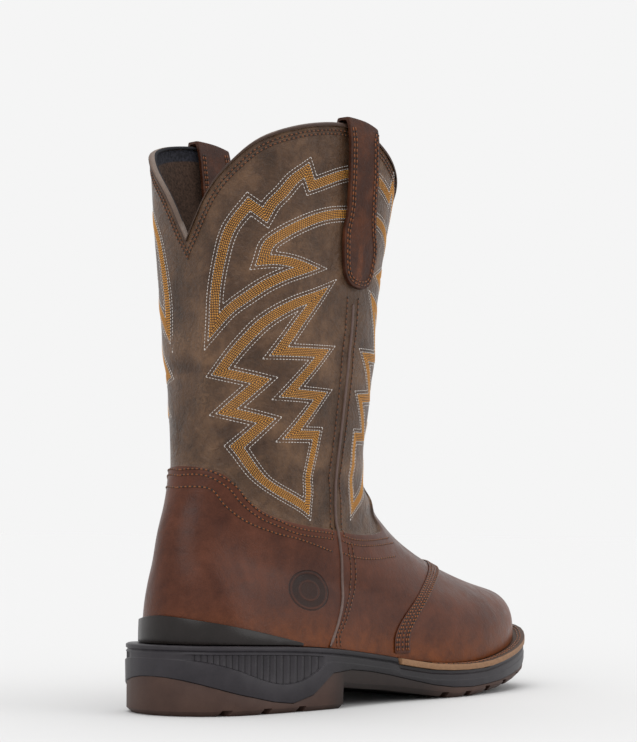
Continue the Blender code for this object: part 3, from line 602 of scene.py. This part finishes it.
binding = clean_copy("collar_binding", "collar_edge")
for finish in (BINDING_TAPE, BINDING_FOLD_HIGHLIGHT, BINDING_KNIT):
    binding.data.materials.append(finish)
folds = binding.data.attributes.new("crease_edge", "FLOAT", "EDGE")
for edge in binding.data.edges:
    turns = [shaft_turn(binding.data.vertices[i].co) for i in edge.vertices]
    for notch_turn in (BACK_TURN, FRONT_TURN):
        if all(abs(turned(turn, notch_turn)) < NOTCH_REACH for turn in turns):
            folds.data[edge.index].value = 1.0
finish_with(binding, "SUBSURF", levels=1, render_levels=1)
for polygon in binding.data.polygons:
    outward = Vector((polygon.center.x - AXIS.x, polygon.center.y - AXIS.y, 0)).normalized()
    facing = polygon.normal.dot(outward)
    # faces across the top of the fold take the paler finish, a painted highlight; outward faces take the tape,
    # inward ones the knit
    polygon.material_index = 0 if facing > 0.6 else (1 if facing > -0.3 else 2)
smooth(binding)
print("binding faces", len(binding.data.polygons))

saddle = clean_copy("saddle_strip", "forefoot_strip")
saddle.data.materials.append(FOOT_LEATHER)
crease_sharp(saddle, 50, 0.7)
finish_with(saddle, "SUBSURF", levels=2, render_levels=2)
smooth(saddle, 50)

# %% [markdown]
# ## Sole unit
# A welted sole is built in layers. The welt is a strip of undyed leather, the midsole is a light cast
# polyurethane in charcoal, the outsole is a denser brown rubber, and a hard guard wraps the heel. Moulded
# parts have small even radii, which a bevel with an angle limit gives.

# %% Moulded rubber
# where the painted shade under the arch fades in and out, along the sole
ARCH_FRONT, ARCH_REAR = -0.150, -0.038
ARCH_EASE = 0.030


def moulded(name, colour, roughness, fleck, arch_painted_shade=0.0):
    """Cast polyurethane or rubber with a fine pebbled mould texture, and painted shade that darkens it under
    the arch.
    """
    finish, tree, shader, place = new_finish(name)
    pebble = noise(tree, place, 0.9, 3.0, 0.6)
    dust = noise(tree, place, 14, 4.0, 0.7)
    mixed = blend(tree, stretch(tree, dust, 0.35, 0.75, 0.0, 0.6), linear(colour), linear(fleck))
    # painted shade: the sole is darkened under the arch, where the boot shades it from the lights
    along = add_node(tree, "ShaderNodeSeparateXYZ", {"Vector": place}).outputs["Y"]
    behind = stretch(tree, along, ARCH_FRONT, ARCH_FRONT + ARCH_EASE)
    ahead = stretch(tree, along, ARCH_REAR, ARCH_REAR - ARCH_EASE / 2)
    arch = times(tree, times(tree, behind, ahead), arch_painted_shade)
    mixed = blend(tree, arch, mixed, linear("#050404"))
    settle(tree, shader, mixed, bump(tree, pebble, 0.5, 0.10), roughness, 0.28)
    return finish


MIDSOLE_FOAM = moulded("cast_polyurethane_charcoal", "#252226", 0.42, "#363236", 0.5)
OUTSOLE_RUBBER = moulded("moulded_rubber_brown", "#3c2922", 0.55, "#4c372e", 0.75)
GUARD_RUBBER = moulded("hard_rubber_guard", "#191412", 0.30, "#262020")
WELT_EDGE = plain_leather("undyed_welt_leather", "#86654a", 0.6, 2.0)
WELT_TOP = plain_leather("stained_welt_leather", "#3f2a1d", 0.6, 2.0)
INSOLE_CLOTH = lining_cloth("insole_cloth", "#26221f", "#3a342f", "#26221f", "#3a342f", 1.5)


def moulded_copy(node, name, finish, radius_mm, degrees=28):
    piece = clean_copy(node, name)
    piece.data.materials.append(finish)
    finish_with(piece, "BEVEL", width=radius_mm * MM, segments=2, limit_method="ANGLE",
                angle_limit=math.radians(degrees), use_clamp_overlap=True)
    smooth(piece, 32)
    return piece


outsole = moulded_copy("outsole", "tread", OUTSOLE_RUBBER, 0.5)
midsole = moulded_copy("midsole", "midsole_layer", MIDSOLE_FOAM, 0.25)
welt = moulded_copy("welt", "welt_strip", WELT_EDGE, 0.5)
welt.data.materials.append(WELT_TOP)
for polygon in welt.data.polygons:
    if polygon.normal.z > 0.85:
        polygon.material_index = 1
guard = moulded_copy("counter_guard", "heel_guard", GUARD_RUBBER, 0.5, 50)
moulded_copy("insole", "footbed", INSOLE_CLOTH, 0.4)
for piece in (outsole, midsole, welt, guard):
    print(piece.name, "faces", len(piece.data.polygons))

# %% [markdown]
# ## Painted shade between the ribs
# The shade between the moulded ribs at the heel is painted in: faces that lie well inside the sole's
# wrapping, its convex hull, get a darker finish.

# %% Dark grooves
GROOVE_DEPTH = 0.0011
PANEL_FRONT, PANEL_REAR = -0.040, 0.040
PANEL_LOW, PANEL_HIGH = 0.012, 0.0325
# the grooves' darker finish is painted shade
GROOVE_RUBBER = moulded("groove_painted_shade", "#070606", 0.8, "#0e0c0c")
pick(midsole)
bpy.ops.object.duplicate()
hull = bpy.context.object
bpy.ops.object.mode_set(mode="EDIT")
bpy.ops.mesh.select_all(action="SELECT")
bpy.ops.mesh.convex_hull()
bpy.ops.object.mode_set(mode="OBJECT")
hull_tree = surface_tree([hull])
bpy.data.objects.remove(hull)
midsole.data.materials.append(GROOVE_RUBBER)
groove_faces = 0
for polygon in midsole.data.polygons:
    spot = polygon.center
    if PANEL_FRONT < spot.y < PANEL_REAR and PANEL_LOW < spot.z < PANEL_HIGH:
        if hull_tree.find_nearest(spot)[3] > GROOVE_DEPTH:
            polygon.material_index = 1
            groove_faces += 1
print("groove faces", groove_faces)

# %% [markdown]
# ## Thread
# Every seam is a row of short stitches that dip into the leather at both ends. One stitch is modelled once
# as a small spindle with five sides and is then laid end to end along a line on the surface. All stitches
# of one colour on one panel are joined into one mesh, because thousands of objects would be slow.

# %% One stitch


def stitch_template():
    """Points and faces of one stitch, from -0.5 to 0.5 along X, radius 1."""
    bpy.ops.object.select_all(action="DESELECT")
    bpy.ops.mesh.primitive_cylinder_add(vertices=5, radius=1, depth=1, end_fill_type="TRIFAN",
                                        rotation=(0, math.pi / 2, 0))
    stitch = bpy.context.object
    bpy.ops.object.transform_apply(location=False, rotation=True, scale=False)
    mesh = bmesh.new()
    mesh.from_mesh(stitch.data)
    long_edges = [e for e in mesh.edges if abs(e.verts[0].co.x - e.verts[1].co.x) > 0.9]
    bmesh.ops.subdivide_edges(mesh, edges=long_edges, cuts=1)
    for vertex in mesh.verts:
        if abs(vertex.co.x) > 0.4:
            if vertex.co.yz.length > 0.5:
                vertex.co.x *= 0.80
                vertex.co.y *= 0.62
                vertex.co.z *= 0.62
    bmesh.ops.triangulate(mesh, faces=mesh.faces)
    bmesh.ops.recalc_face_normals(mesh, faces=mesh.faces)
    points = np.array([v.co for v in mesh.verts])
    faces = np.array([[v.index for v in f.verts] for f in mesh.faces])
    mesh.free()
    bpy.data.objects.remove(stitch)
    return points, faces


STITCH_POINTS, STITCH_FACES = stitch_template()
print("one stitch has", len(STITCH_FACES), "faces")


def lay_stitches(name, pairs, radius_mm, finish, seated=0.35):
    """Join stitches between pairs of (start, end, normal) into one piece."""
    start, end, lift = (np.array([pair[k] for pair in pairs]) for k in range(3))
    run = end - start
    length = np.linalg.norm(run, axis=1, keepdims=True)
    along = run / length
    across = np.cross(lift, along)
    across /= np.linalg.norm(across, axis=1, keepdims=True)
    rise = np.cross(along, across)
    middle = (start + end) / 2 + rise * radius_mm * MM * seated
    local = STITCH_POINTS
    points = (middle[:, None, :]
              + along[:, None, :] * (local[None, :, 0:1] * length[:, None, :])
              + across[:, None, :] * local[None, :, 1:2] * radius_mm * MM
              + rise[:, None, :] * local[None, :, 2:3] * radius_mm * MM)
    faces = STITCH_FACES[None] + (np.arange(len(pairs)) * len(local))[:, None, None]
    mesh = bpy.data.meshes.new(name)
    mesh.from_pydata(points.reshape(-1, 3).tolist(), [], faces.reshape(-1, 3).tolist())
    piece = bpy.data.objects.new(name, mesh)
    bpy.context.scene.collection.objects.link(piece)
    piece.data.materials.append(finish)
    smooth(piece)
    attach(piece, "root")
    print(name, len(pairs), "stitches", len(pairs) * len(STITCH_FACES), "triangles")
    return piece


# %% [markdown]
# ## Thread colours
# Polyester thread has a soft gloss and a fine twist, far too fine to show, so the thread gets a slight
# change of tone from stitch to stitch and, where it is pale, a little sheen.

# %% Thread finishes


def thread(name, colour, darker, sheen=0.2):
    """Thread whose tone changes a little from stitch to stitch."""
    finish, tree, shader, place = new_finish(name)
    mixed = blend(tree, noise(tree, place, 2.5, 2.0), linear(darker), linear(colour))
    tree.links.new(mixed, shader.inputs["Base Color"])
    shader.inputs["Roughness"].default_value = 0.5
    shader.inputs["Sheen Weight"].default_value = sheen
    return finish


WHITE_THREAD = thread("polyester_thread_off_white", "#e9e4df", "#b3aaa3")
GOLD_THREAD = thread("polyester_thread_gold", "#d8962d", "#9c6820")
BROWN_THREAD = thread("polyester_thread_brown", "#7c4826", "#4c2c18", 0.0)
ORANGE_THREAD = thread("polyester_thread_orange", "#93511f", "#5a3416", 0.0)
NEEDLE_HOLE = thread("needle_hole_shadow", "#0f0906", "#080403", 0.0)

# %% [markdown]
# ## Rows of stitches
# A row is drawn flat, in millimetres, as a chain of legs that meet at corners. Rows that run side by side
# are made from one line, each at its own distance, with mitred corners as on a stitcher's template. Then
# the row is laid on the boot by a ray from each of its points, and cut into stitches by its true length.

# %% Rows of stitches


def smooth_leg(leg, pitch=1.5):
    """Points every pitch mm along a smooth curve through a leg's points."""
    points = np.array(leg, float)
    chord = np.r_[0, np.cumsum(np.linalg.norm(np.diff(points, axis=0), axis=1))]
    where = np.linspace(0, chord[-1], max(int(chord[-1] / pitch), 2) + 1)
    if len(points) == 2:
        share = (where / chord[-1])[:, None]
        return points[0] * (1 - share) + points[1] * share
    slopes = np.gradient(points, chord, axis=0)
    spot = np.clip(np.searchsorted(chord, where, side="right") - 1, 0, len(points) - 2)
    span = (chord[spot + 1] - chord[spot])[:, None]
    t = ((where - chord[spot]) / span[:, 0])[:, None]
    return ((2 * t ** 3 - 3 * t ** 2 + 1) * points[spot] + (t ** 3 - 2 * t ** 2 + t) * slopes[spot] * span
            + (3 * t ** 2 - 2 * t ** 3) * points[spot + 1] + (t ** 3 - t ** 2) * slopes[spot + 1] * span)


def unit(vector):
    return vector / np.linalg.norm(vector)


def beside(curves, distance):
    """The lines at a distance to the left of a chain of curves, with mitred corners."""
    moved = []
    for curve in curves:
        run = np.gradient(curve, axis=0)
        run /= np.linalg.norm(run, axis=1, keepdims=True)
        moved.append(curve + np.c_[-run[:, 1], run[:, 0]] * distance)
    for number in range(len(curves) - 1):
        corner = curves[number][-1]
        into = unit(curves[number][-1] - curves[number][-2])
        out = unit(curves[number + 1][1] - curves[number + 1][0])
        side_in = np.array([-into[1], into[0]])
        side_out = np.array([-out[1], out[0]])
        mitre = distance * (side_in + side_out) / max(1 + side_in @ side_out, 0.06)
        before, after = moved[number], moved[number + 1]
        late = np.arange(len(before)) > len(before) * 0.4
        keep = ~(late & ((before - corner) @ into > mitre @ into))
        early = np.arange(len(after)) < len(after) * 0.6
        keep_after = ~(early & ((after - corner) @ out < mitre @ out))
        moved[number] = np.vstack([before[keep], corner + mitre])
        moved[number + 1] = np.vstack([corner + mitre, after[keep_after]])
    return moved


def cut_stitches(flat, to_place, length, gap):
    """Stitches, as (start, end, normal), that fill one leg of a row laid on the boot."""
    placed = [to_place(spot) for spot in flat]
    placed = [spot for spot in placed if spot[0] is not None]
    if len(placed) < 2:
        return []
    points = np.array([spot[0] for spot in placed])
    normals = np.array([spot[1] for spot in placed])
    chord = np.r_[0, np.cumsum(np.linalg.norm(np.diff(points, axis=0), axis=1))] / MM
    if chord[-1] < length * 0.8:
        return []
    count = max(round((chord[-1] + gap) / (length + gap)), 1)
    pitch = (chord[-1] + gap) / count
    first = np.arange(count) * pitch
    last = first + pitch - gap
    start, end = (np.stack([np.interp(where, chord, points[:, k]) for k in range(3)], axis=1)
                  for where in (first, last))
    lift = np.stack([np.interp((first + last) / 2, chord, normals[:, k]) for k in range(3)], axis=1)
    sound = np.linalg.norm(end - start, axis=1) / MM
    return [trio for trio, size in zip(zip(start, end, lift), sound) if 0.4 * length < size < 1.5 * length]


def row_group(curves, distances, to_place, length, gap, closed=False):
    """Stitches of several rows beside one chain of curves; a closed one's last leg meets its first."""
    if closed:
        curves = curves[-1:] + curves + curves[:1]
    pairs = []
    for distance in distances:
        lines = beside(curves, distance)
        for line in lines[1:-1] if closed else lines:
            pairs += cut_stitches(line, to_place, length, gap)
    return pairs


def sew(name, pairs, radius_mm, finish):
    """Lay a plain seam: its stitches, and dark marks between them that paint the shadow in the needle holes.
    """
    lay_stitches(name, pairs, radius_mm, finish)
    hole_shadows = []
    for start, end, lift in pairs:
        run = unit(end - start) * MM
        hole_shadows.append((end - run * 0.2, end + run * 1.15, lift))
    lay_stitches(name + "_holes", hole_shadows, radius_mm * 1.2, NEEDLE_HOLE, 0.1)


# %% [markdown]
# ## Flame stitching
# The traditional pattern is a band that zigzags up the panel: five close rows of gold between two rows of
# white at their edges, and an outer row of white on each side. Only the band's middle line is drawn.

# %% The band's middle line
# Each leg is a list of (share of the panel from its middle line to the side seam in %, height in mm).
UPPER_BAND = [
    [(99, 292), (85, 289), (64, 281)],
    [(64, 281), (61, 289)],
    [(61, 289), (55, 284), (49, 276), (44, 270), (41, 264)],
    [(41, 264), (34, 270)],
    [(34, 270), (25, 257), (20, 241), (17, 225), (16, 205)],
    [(16, 205), (24, 214), (33, 221), (41, 227), (50, 232), (63, 237)],
    [(63, 237), (56, 239), (51, 240), (45, 240.5), (40, 240)],
    [(40, 240), (43, 249), (49, 254), (59, 260), (71, 265), (89, 268), (99, 268)],
]
LOWER_BAND = [
    [(67, 108), (38, 123), (26, 141)],
    [(26, 141), (41, 155)],
    [(41, 155), (22, 160)],
    [(22, 160), (39, 176)],
    [(39, 176), (19, 181)],
    [(19, 181), (31, 197), (41, 208), (55, 217), (71, 223)],
    [(71, 223), (59, 208), (48, 192)],
    [(48, 192), (76, 192)],
    [(76, 192), (54, 170)],
    [(54, 170), (77, 169)],
    [(77, 169), (56, 148)],
    [(56, 148), (75, 148)],
    [(75, 148), (70, 124), (67, 108)],
]
PANEL_WIDTH = 95.0


def on_panel(panel):
    """Function that lays a place on the flat panel, in mm, on the boot."""
    def to_place(flat):
        height = flat[1] * MM
        return on_shaft(skin, panel_turn(panel, flat[0] / PANEL_WIDTH, height), height)
    return to_place


def panel_curves(legs):
    """Smooth curves in mm through legs given in % and mm."""
    return [smooth_leg([(share / 100 * PANEL_WIDTH, height) for share, height in leg]) for leg in legs]


# %% Stitch the four panels
# colour, distances from the middle line, a stitch's length, gap and radius, all in mm, and its thread
FLAME_ROWS = [
    ("white", (-4.2, -2.55, 2.55, 4.2), 1.35, 0.5, 0.21, WHITE_THREAD),
    ("gold", (-1.8, -0.9, 0.0, 0.9, 1.8), 1.1, 0.25, 0.36, GOLD_THREAD),
]
for panel in PANELS:
    word = "_".join(panel)
    for name, rows, length, gap, radius, finish in FLAME_ROWS:
        pairs = row_group(panel_curves(UPPER_BAND), rows, on_panel(panel), length, gap)
        pairs += row_group(panel_curves(LOWER_BAND), rows, on_panel(panel), length, gap, closed=True)
        lay_stitches(f"{name}_rows_{word}", pairs, radius, finish)

# %% [markdown]
# ## Plain seams
# The collar has a double row below its edge. The counter and the vamp have a double row along their top
# edge and a single one lower down. On the shaft a row runs on each side of the cord in the side seam, and on
# the foot a double row runs ahead of it.

# %% Plain seams
COLUMN_RADIUS = 60.0
# a stitch's length, its gap and its thread's radius, in mm
PLAIN_SIZES, SEAM_SIZES = (1.7, 1.0, 0.46), (2.0, 0.9, 0.38)
STRAP_SIZES, STRIP_SIZES, WELT_SIZES = (2.1, 0.8, 0.40), (1.8, 0.9, 0.40), (3.2, 1.0, 0.42)
COLLAR_ROWS = (-3.6, -5.6)


def on_column(flat):
    """Lay a place on the boot from (arc in mm at the column's radius, height in mm)."""
    return on_shaft(skin, math.degrees(flat[0] / COLUMN_RADIUS), flat[1] * MM)


rim = np.c_[np.radians(RIM_TURNS) * COLUMN_RADIUS, RIM_HEIGHTS / MM]
notch = int(np.argmin(abs(RIM_TURNS - BACK_TURN)))
rim_legs = [rim[:notch + 1], rim[notch:]]
sew("collar_rows", row_group(rim_legs, COLLAR_ROWS, on_column, *PLAIN_SIZES[:2]), PLAIN_SIZES[2],
    BROWN_THREAD)

# the rows on counter and vamp: points in % of the panel and mm, and distances to each side of them
LEATHER_ROWS = [
    ([(0, 127.5), (5, 128), (14, 127), (22, 121), (27, 112), (32, 106), (47, 99), (93, 93)], (-1.5, 1.5)),
    ([(0, 119.5), (6, 120), (14, 119), (20, 109), (26, 102), (38, 96), (57, 92), (91, 85)], (0.0,)),
    ([(104, 92), (113, 90), (130, 89), (143, 90)], (-1.5, 1.5)),
    ([(102, 84), (115, 81), (126, 80), (137, 81)], (0.0,)),
]
# offset from the cord, towards the front where positive, and the lowest and highest point, in mm
SEAM_ROWS = [(-5.2, 92, 224), (4.4, 92, 224), (7.0, 33, 90), (9.8, 33, 90)]
for side in ("outer", "inner"):
    place = on_panel((side, "back"))
    pairs = []
    for row, distances in LEATHER_ROWS:
        pairs += row_group(panel_curves([row]), distances, place, *PLAIN_SIZES[:2])
    sew(f"counter_rows_{side}", pairs, PLAIN_SIZES[2], ORANGE_THREAD)
    pairs = []
    for offset, lowest, highest in SEAM_ROWS:
        line = []
        for height in np.arange(lowest, highest, 1.5):
            turn = float(np.interp(height * MM, *SEAMS[side]))
            spot, _ = on_shaft(skin, turn, height * MM)
            if spot is None:
                continue
            radius = (Vector(spot.xy) - AXIS).length / MM
            sign = 1 if side == "outer" else -1
            line.append((math.radians(turn + sign * math.degrees(offset / radius)) * COLUMN_RADIUS, height))
        pairs += cut_stitches(np.array(line), on_column, *SEAM_SIZES[:2])
    sew(f"seam_rows_{side}", pairs, SEAM_SIZES[2], BROWN_THREAD)

# %% [markdown]
# ## Strap stitches
# Each strap leg has a double row inside its edge, all the way down one side, round the sewn end and up the
# other, and the outer legs have a cross row where the patch begins. The edges are found by sweeping a ray
# across the strap at each height.

# %% Strap stitches


def strap_edge(tree, side, inside, height):
    """Angles of a strap leg's two edges at a height, or None."""
    middle = float(np.interp(height, *SEAMS[side]))
    seen = []
    for turn in np.arange(middle - 26, middle + 26, 0.5):
        if inside:
            spot, _ = in_shaft(tree, turn, height)
        else:
            spot, _ = on_shaft(tree, turn, height)
            wall, _ = on_shaft(skin, turn, height)
            if spot and wall and (spot - wall).dot(radial(turn)) < 0:
                spot = None
        if spot:
            seen.append(turn)
    return (seen[0], seen[-1]) if len(seen) > 3 else None


STRAP_ROW_TOP, PATCH_TOP = 314.0, 255.5
for side in ("outer", "inner"):
    tree = surface_tree([straps[side]])
    pairs = []
    for inside in (False, True):
        left, right = [], []
        for height in np.arange(STRAP_ROW_TOP, 215, -1.5):
            edge = strap_edge(tree, side, inside, height * MM)
            if edge:
                left.append((math.radians(edge[0]) * COLUMN_RADIUS, height))
                right.append((math.radians(edge[1]) * COLUMN_RADIUS, height))
        left, right = np.array(left), np.array(right)
        contour = np.vstack([left, right[::-1]])

        def on_strap(flat, tree=tree, inside=inside):
            turn = math.degrees(flat[0] / COLUMN_RADIUS)
            return (in_shaft if inside else on_shaft)(tree, turn, flat[1] * MM)

        curve = smooth_leg(contour[::3])
        for distance in (1.9, 3.7):
            line = beside([curve], distance)[0]
            clear = [np.linalg.norm(contour - spot, axis=1).min() > distance - 0.35 for spot in line]
            pairs += cut_stitches(line[clear], on_strap, *STRAP_SIZES[:2])
        if not inside:
            cross = [(left[:, 0].max() + 3, PATCH_TOP), (right[:, 0].min() - 3, PATCH_TOP)]
            pairs += cut_stitches(smooth_leg(cross), on_strap, *STRAP_SIZES[:2])
    sew(f"strap_rows_{side}", pairs, STRAP_SIZES[2], ORANGE_THREAD)

# %% [markdown]
# ## Forefoot strip and welt stitches
# The strip over the forefoot has five rows. The welt is sewn through its top near the toe in two rows of
# coarse thread, which lie in the dark channel between the upper and the pale edge.

# %% Forefoot strip and welt stitches
strip_points = np.array([v.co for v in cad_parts["saddle_strip"].data.vertices])
FOREFOOT_CORE = 0.030
strip_turn = np.arctan2(strip_points[:, 0], strip_points[:, 2] - FOREFOOT_CORE)
strip_fit = np.polyfit(strip_turn, strip_points[:, 1], 6)
strip_tree = surface_tree([saddle, upper])


def on_strip(flat):
    turn = flat[0] / COLUMN_RADIUS
    outward = Vector((math.sin(turn), 0, math.cos(turn)))
    start = Vector((0, flat[1] * MM, FOREFOOT_CORE)) + outward * 0.15
    point, normal, _, _ = strip_tree.ray_cast(start, -outward)
    return point, normal


turns = np.linspace(strip_turn.min() + 0.03, strip_turn.max() - 0.03, 120)
strip_line = np.c_[turns * COLUMN_RADIUS, np.polyval(strip_fit, turns) / MM]
pairs = []
for offset in (-4.6, -2.9, 0.0, 2.9, 4.6):
    pairs += cut_stitches(strip_line + (0, offset), on_strip, *STRIP_SIZES[:2])
sew("strip_rows", pairs, STRIP_SIZES[2], ORANGE_THREAD)

welt_tree = surface_tree([welt])
TOE_CENTRE = Vector((0, -0.185))


def on_welt(flat):
    point, normal, _, _ = welt_tree.ray_cast(Vector((flat[0] * MM, flat[1] * MM, 0.08)), Vector((0, 0, -1)))
    return point, normal


def welt_edge(turn):
    """Outermost point of the welt, in mm, in a direction from the toe's centre."""
    away = Vector((math.sin(turn), -math.cos(turn)))
    for reach in np.arange(115, 30, -0.4):
        spot = (TOE_CENTRE.x / MM + away.x * reach, TOE_CENTRE.y / MM + away.y * reach)
        if on_welt(spot)[0] is not None:
            return spot
    return None


edge = [welt_edge(turn) for turn in np.radians(np.arange(-136, 137, 2.0))]
edge = smooth_leg([spot for spot in edge if spot is not None])
pairs = row_group([edge], (2.6, 4.3), on_welt, *WELT_SIZES[:2])
sew("welt_rows", pairs, WELT_SIZES[2], ORANGE_THREAD)

# %% [markdown]
# ## A plain stamp
# The quarter carries a round mark pressed into the leather, which darkens it. Here it is a bare disc with a
# plain ring, with no sign in it.

# %% A plain stamp
STAMP_RADIUS = 0.0112
STAMP_SPREAD = 0.72        # the mark is wider than tall, as the leather was stretched over the last
# share of the radius, and how far the leather is darkened there
STAMP_TONES = [(0.0, 0.34), (0.40, 0.34), (0.44, 0.62), (0.50, 0.62), (0.54, 0.24), (0.80, 0.24), (0.84, 0.7),
               (0.90, 0.7), (0.93, 0.26), (0.98, 0.30)]
stamp_place, _ = on_panel(("outer", "back"))((0.655 * PANEL_WIDTH, 64.0))


def press_stamp(finish, centre):
    """Darken a disc and sink its ring, round a place in the leather."""
    tree = finish.node_tree
    shader = tree.nodes["Principled BSDF"]
    place = add_node(tree, "ShaderNodeTexCoord").outputs["Object"]
    offset = add_node(tree, "ShaderNodeVectorMath", {0: place, 1: tuple(centre)}, operation="SUBTRACT")
    offset = add_node(tree, "ShaderNodeVectorMath", {
        0: offset.outputs["Vector"], 1: (STAMP_SPREAD, STAMP_SPREAD, 1.0)}, operation="MULTIPLY")
    away = add_node(tree, "ShaderNodeVectorMath", {0: offset.outputs["Vector"]},
                    operation="LENGTH").outputs["Value"]
    share = add_node(tree, "ShaderNodeMath", {0: away, 1: STAMP_RADIUS}, operation="DIVIDE").outputs["Value"]
    ramp = add_node(tree, "ShaderNodeValToRGB", {"Fac": share})
    first, last = ramp.color_ramp.elements
    first.color = (STAMP_TONES[0][1],) * 3 + (1,)
    last.color = (1, 1, 1, 1)
    for where, value in STAMP_TONES[1:]:
        ramp.color_ramp.elements.new(where).color = (value,) * 3 + (1,)
    colour = shader.inputs["Base Color"].links[0].from_socket
    pressed = blend(tree, 0.95, colour, ramp.outputs["Color"], "MULTIPLY")
    tree.links.new(pressed, shader.inputs["Base Color"])
    normal = shader.inputs["Normal"].links[0].from_socket
    tree.links.new(bump(tree, ramp.outputs["Color"], 0.8, 0.4, normal), shader.inputs["Normal"])


press_stamp(FOOT_LEATHER, stamp_place)
print("stamp at", [round(v / MM) for v in stamp_place], "mm")

# %% [markdown]
# ## Floor and light
# A catalogue picture is shot on a white sweep with large soft lights, so that the shadow under the sole is
# faint and the leather shows broad, quiet highlights.

# %% Floor and light
bpy.context.scene.view_settings.view_transform = "Standard"
bpy.ops.object.select_all(action="DESELECT")
bpy.ops.mesh.primitive_plane_add(size=12, location=(0, 0, 0))
floor = bpy.context.object
floor.name = "floor"
bpy.ops.object.transform_apply(location=True, rotation=True, scale=True)
floor_finish, _, floor_shader, _ = new_finish("studio_floor")
floor_shader.inputs["Base Color"].default_value = linear("#cecece")
floor_shader.inputs["Roughness"].default_value = 0.9
floor_shader.inputs["Specular IOR Level"].default_value = 0.0
floor.data.materials.append(floor_finish)

world = bpy.data.worlds.new("studio")
bpy.context.scene.world = world
world.use_nodes = True
world.node_tree.nodes["Background"].inputs["Color"].default_value = linear("#f5f5f5")
world.node_tree.nodes["Background"].inputs["Strength"].default_value = 1.0


def soft_light(name, place, strength, spread):
    """A wide, distant studio light that shines from a place towards the boot."""
    bpy.ops.object.light_add(type="SUN", location=place)
    light = bpy.context.object
    light.name = name
    light.data.energy = strength
    light.data.angle = math.radians(spread)
    light.rotation_mode = "QUATERNION"
    light.rotation_quaternion = (Vector((0, -0.05, 0.12)) - Vector(place)).to_track_quat("-Z", "Y")


soft_light("key", (-0.5, 1.5, 1.5), 0.9, 40)
soft_light("side", (-1.7, -0.6, 0.9), 0.6, 40)
soft_light("top", (0.2, -0.5, 1.9), 1.0, 50)
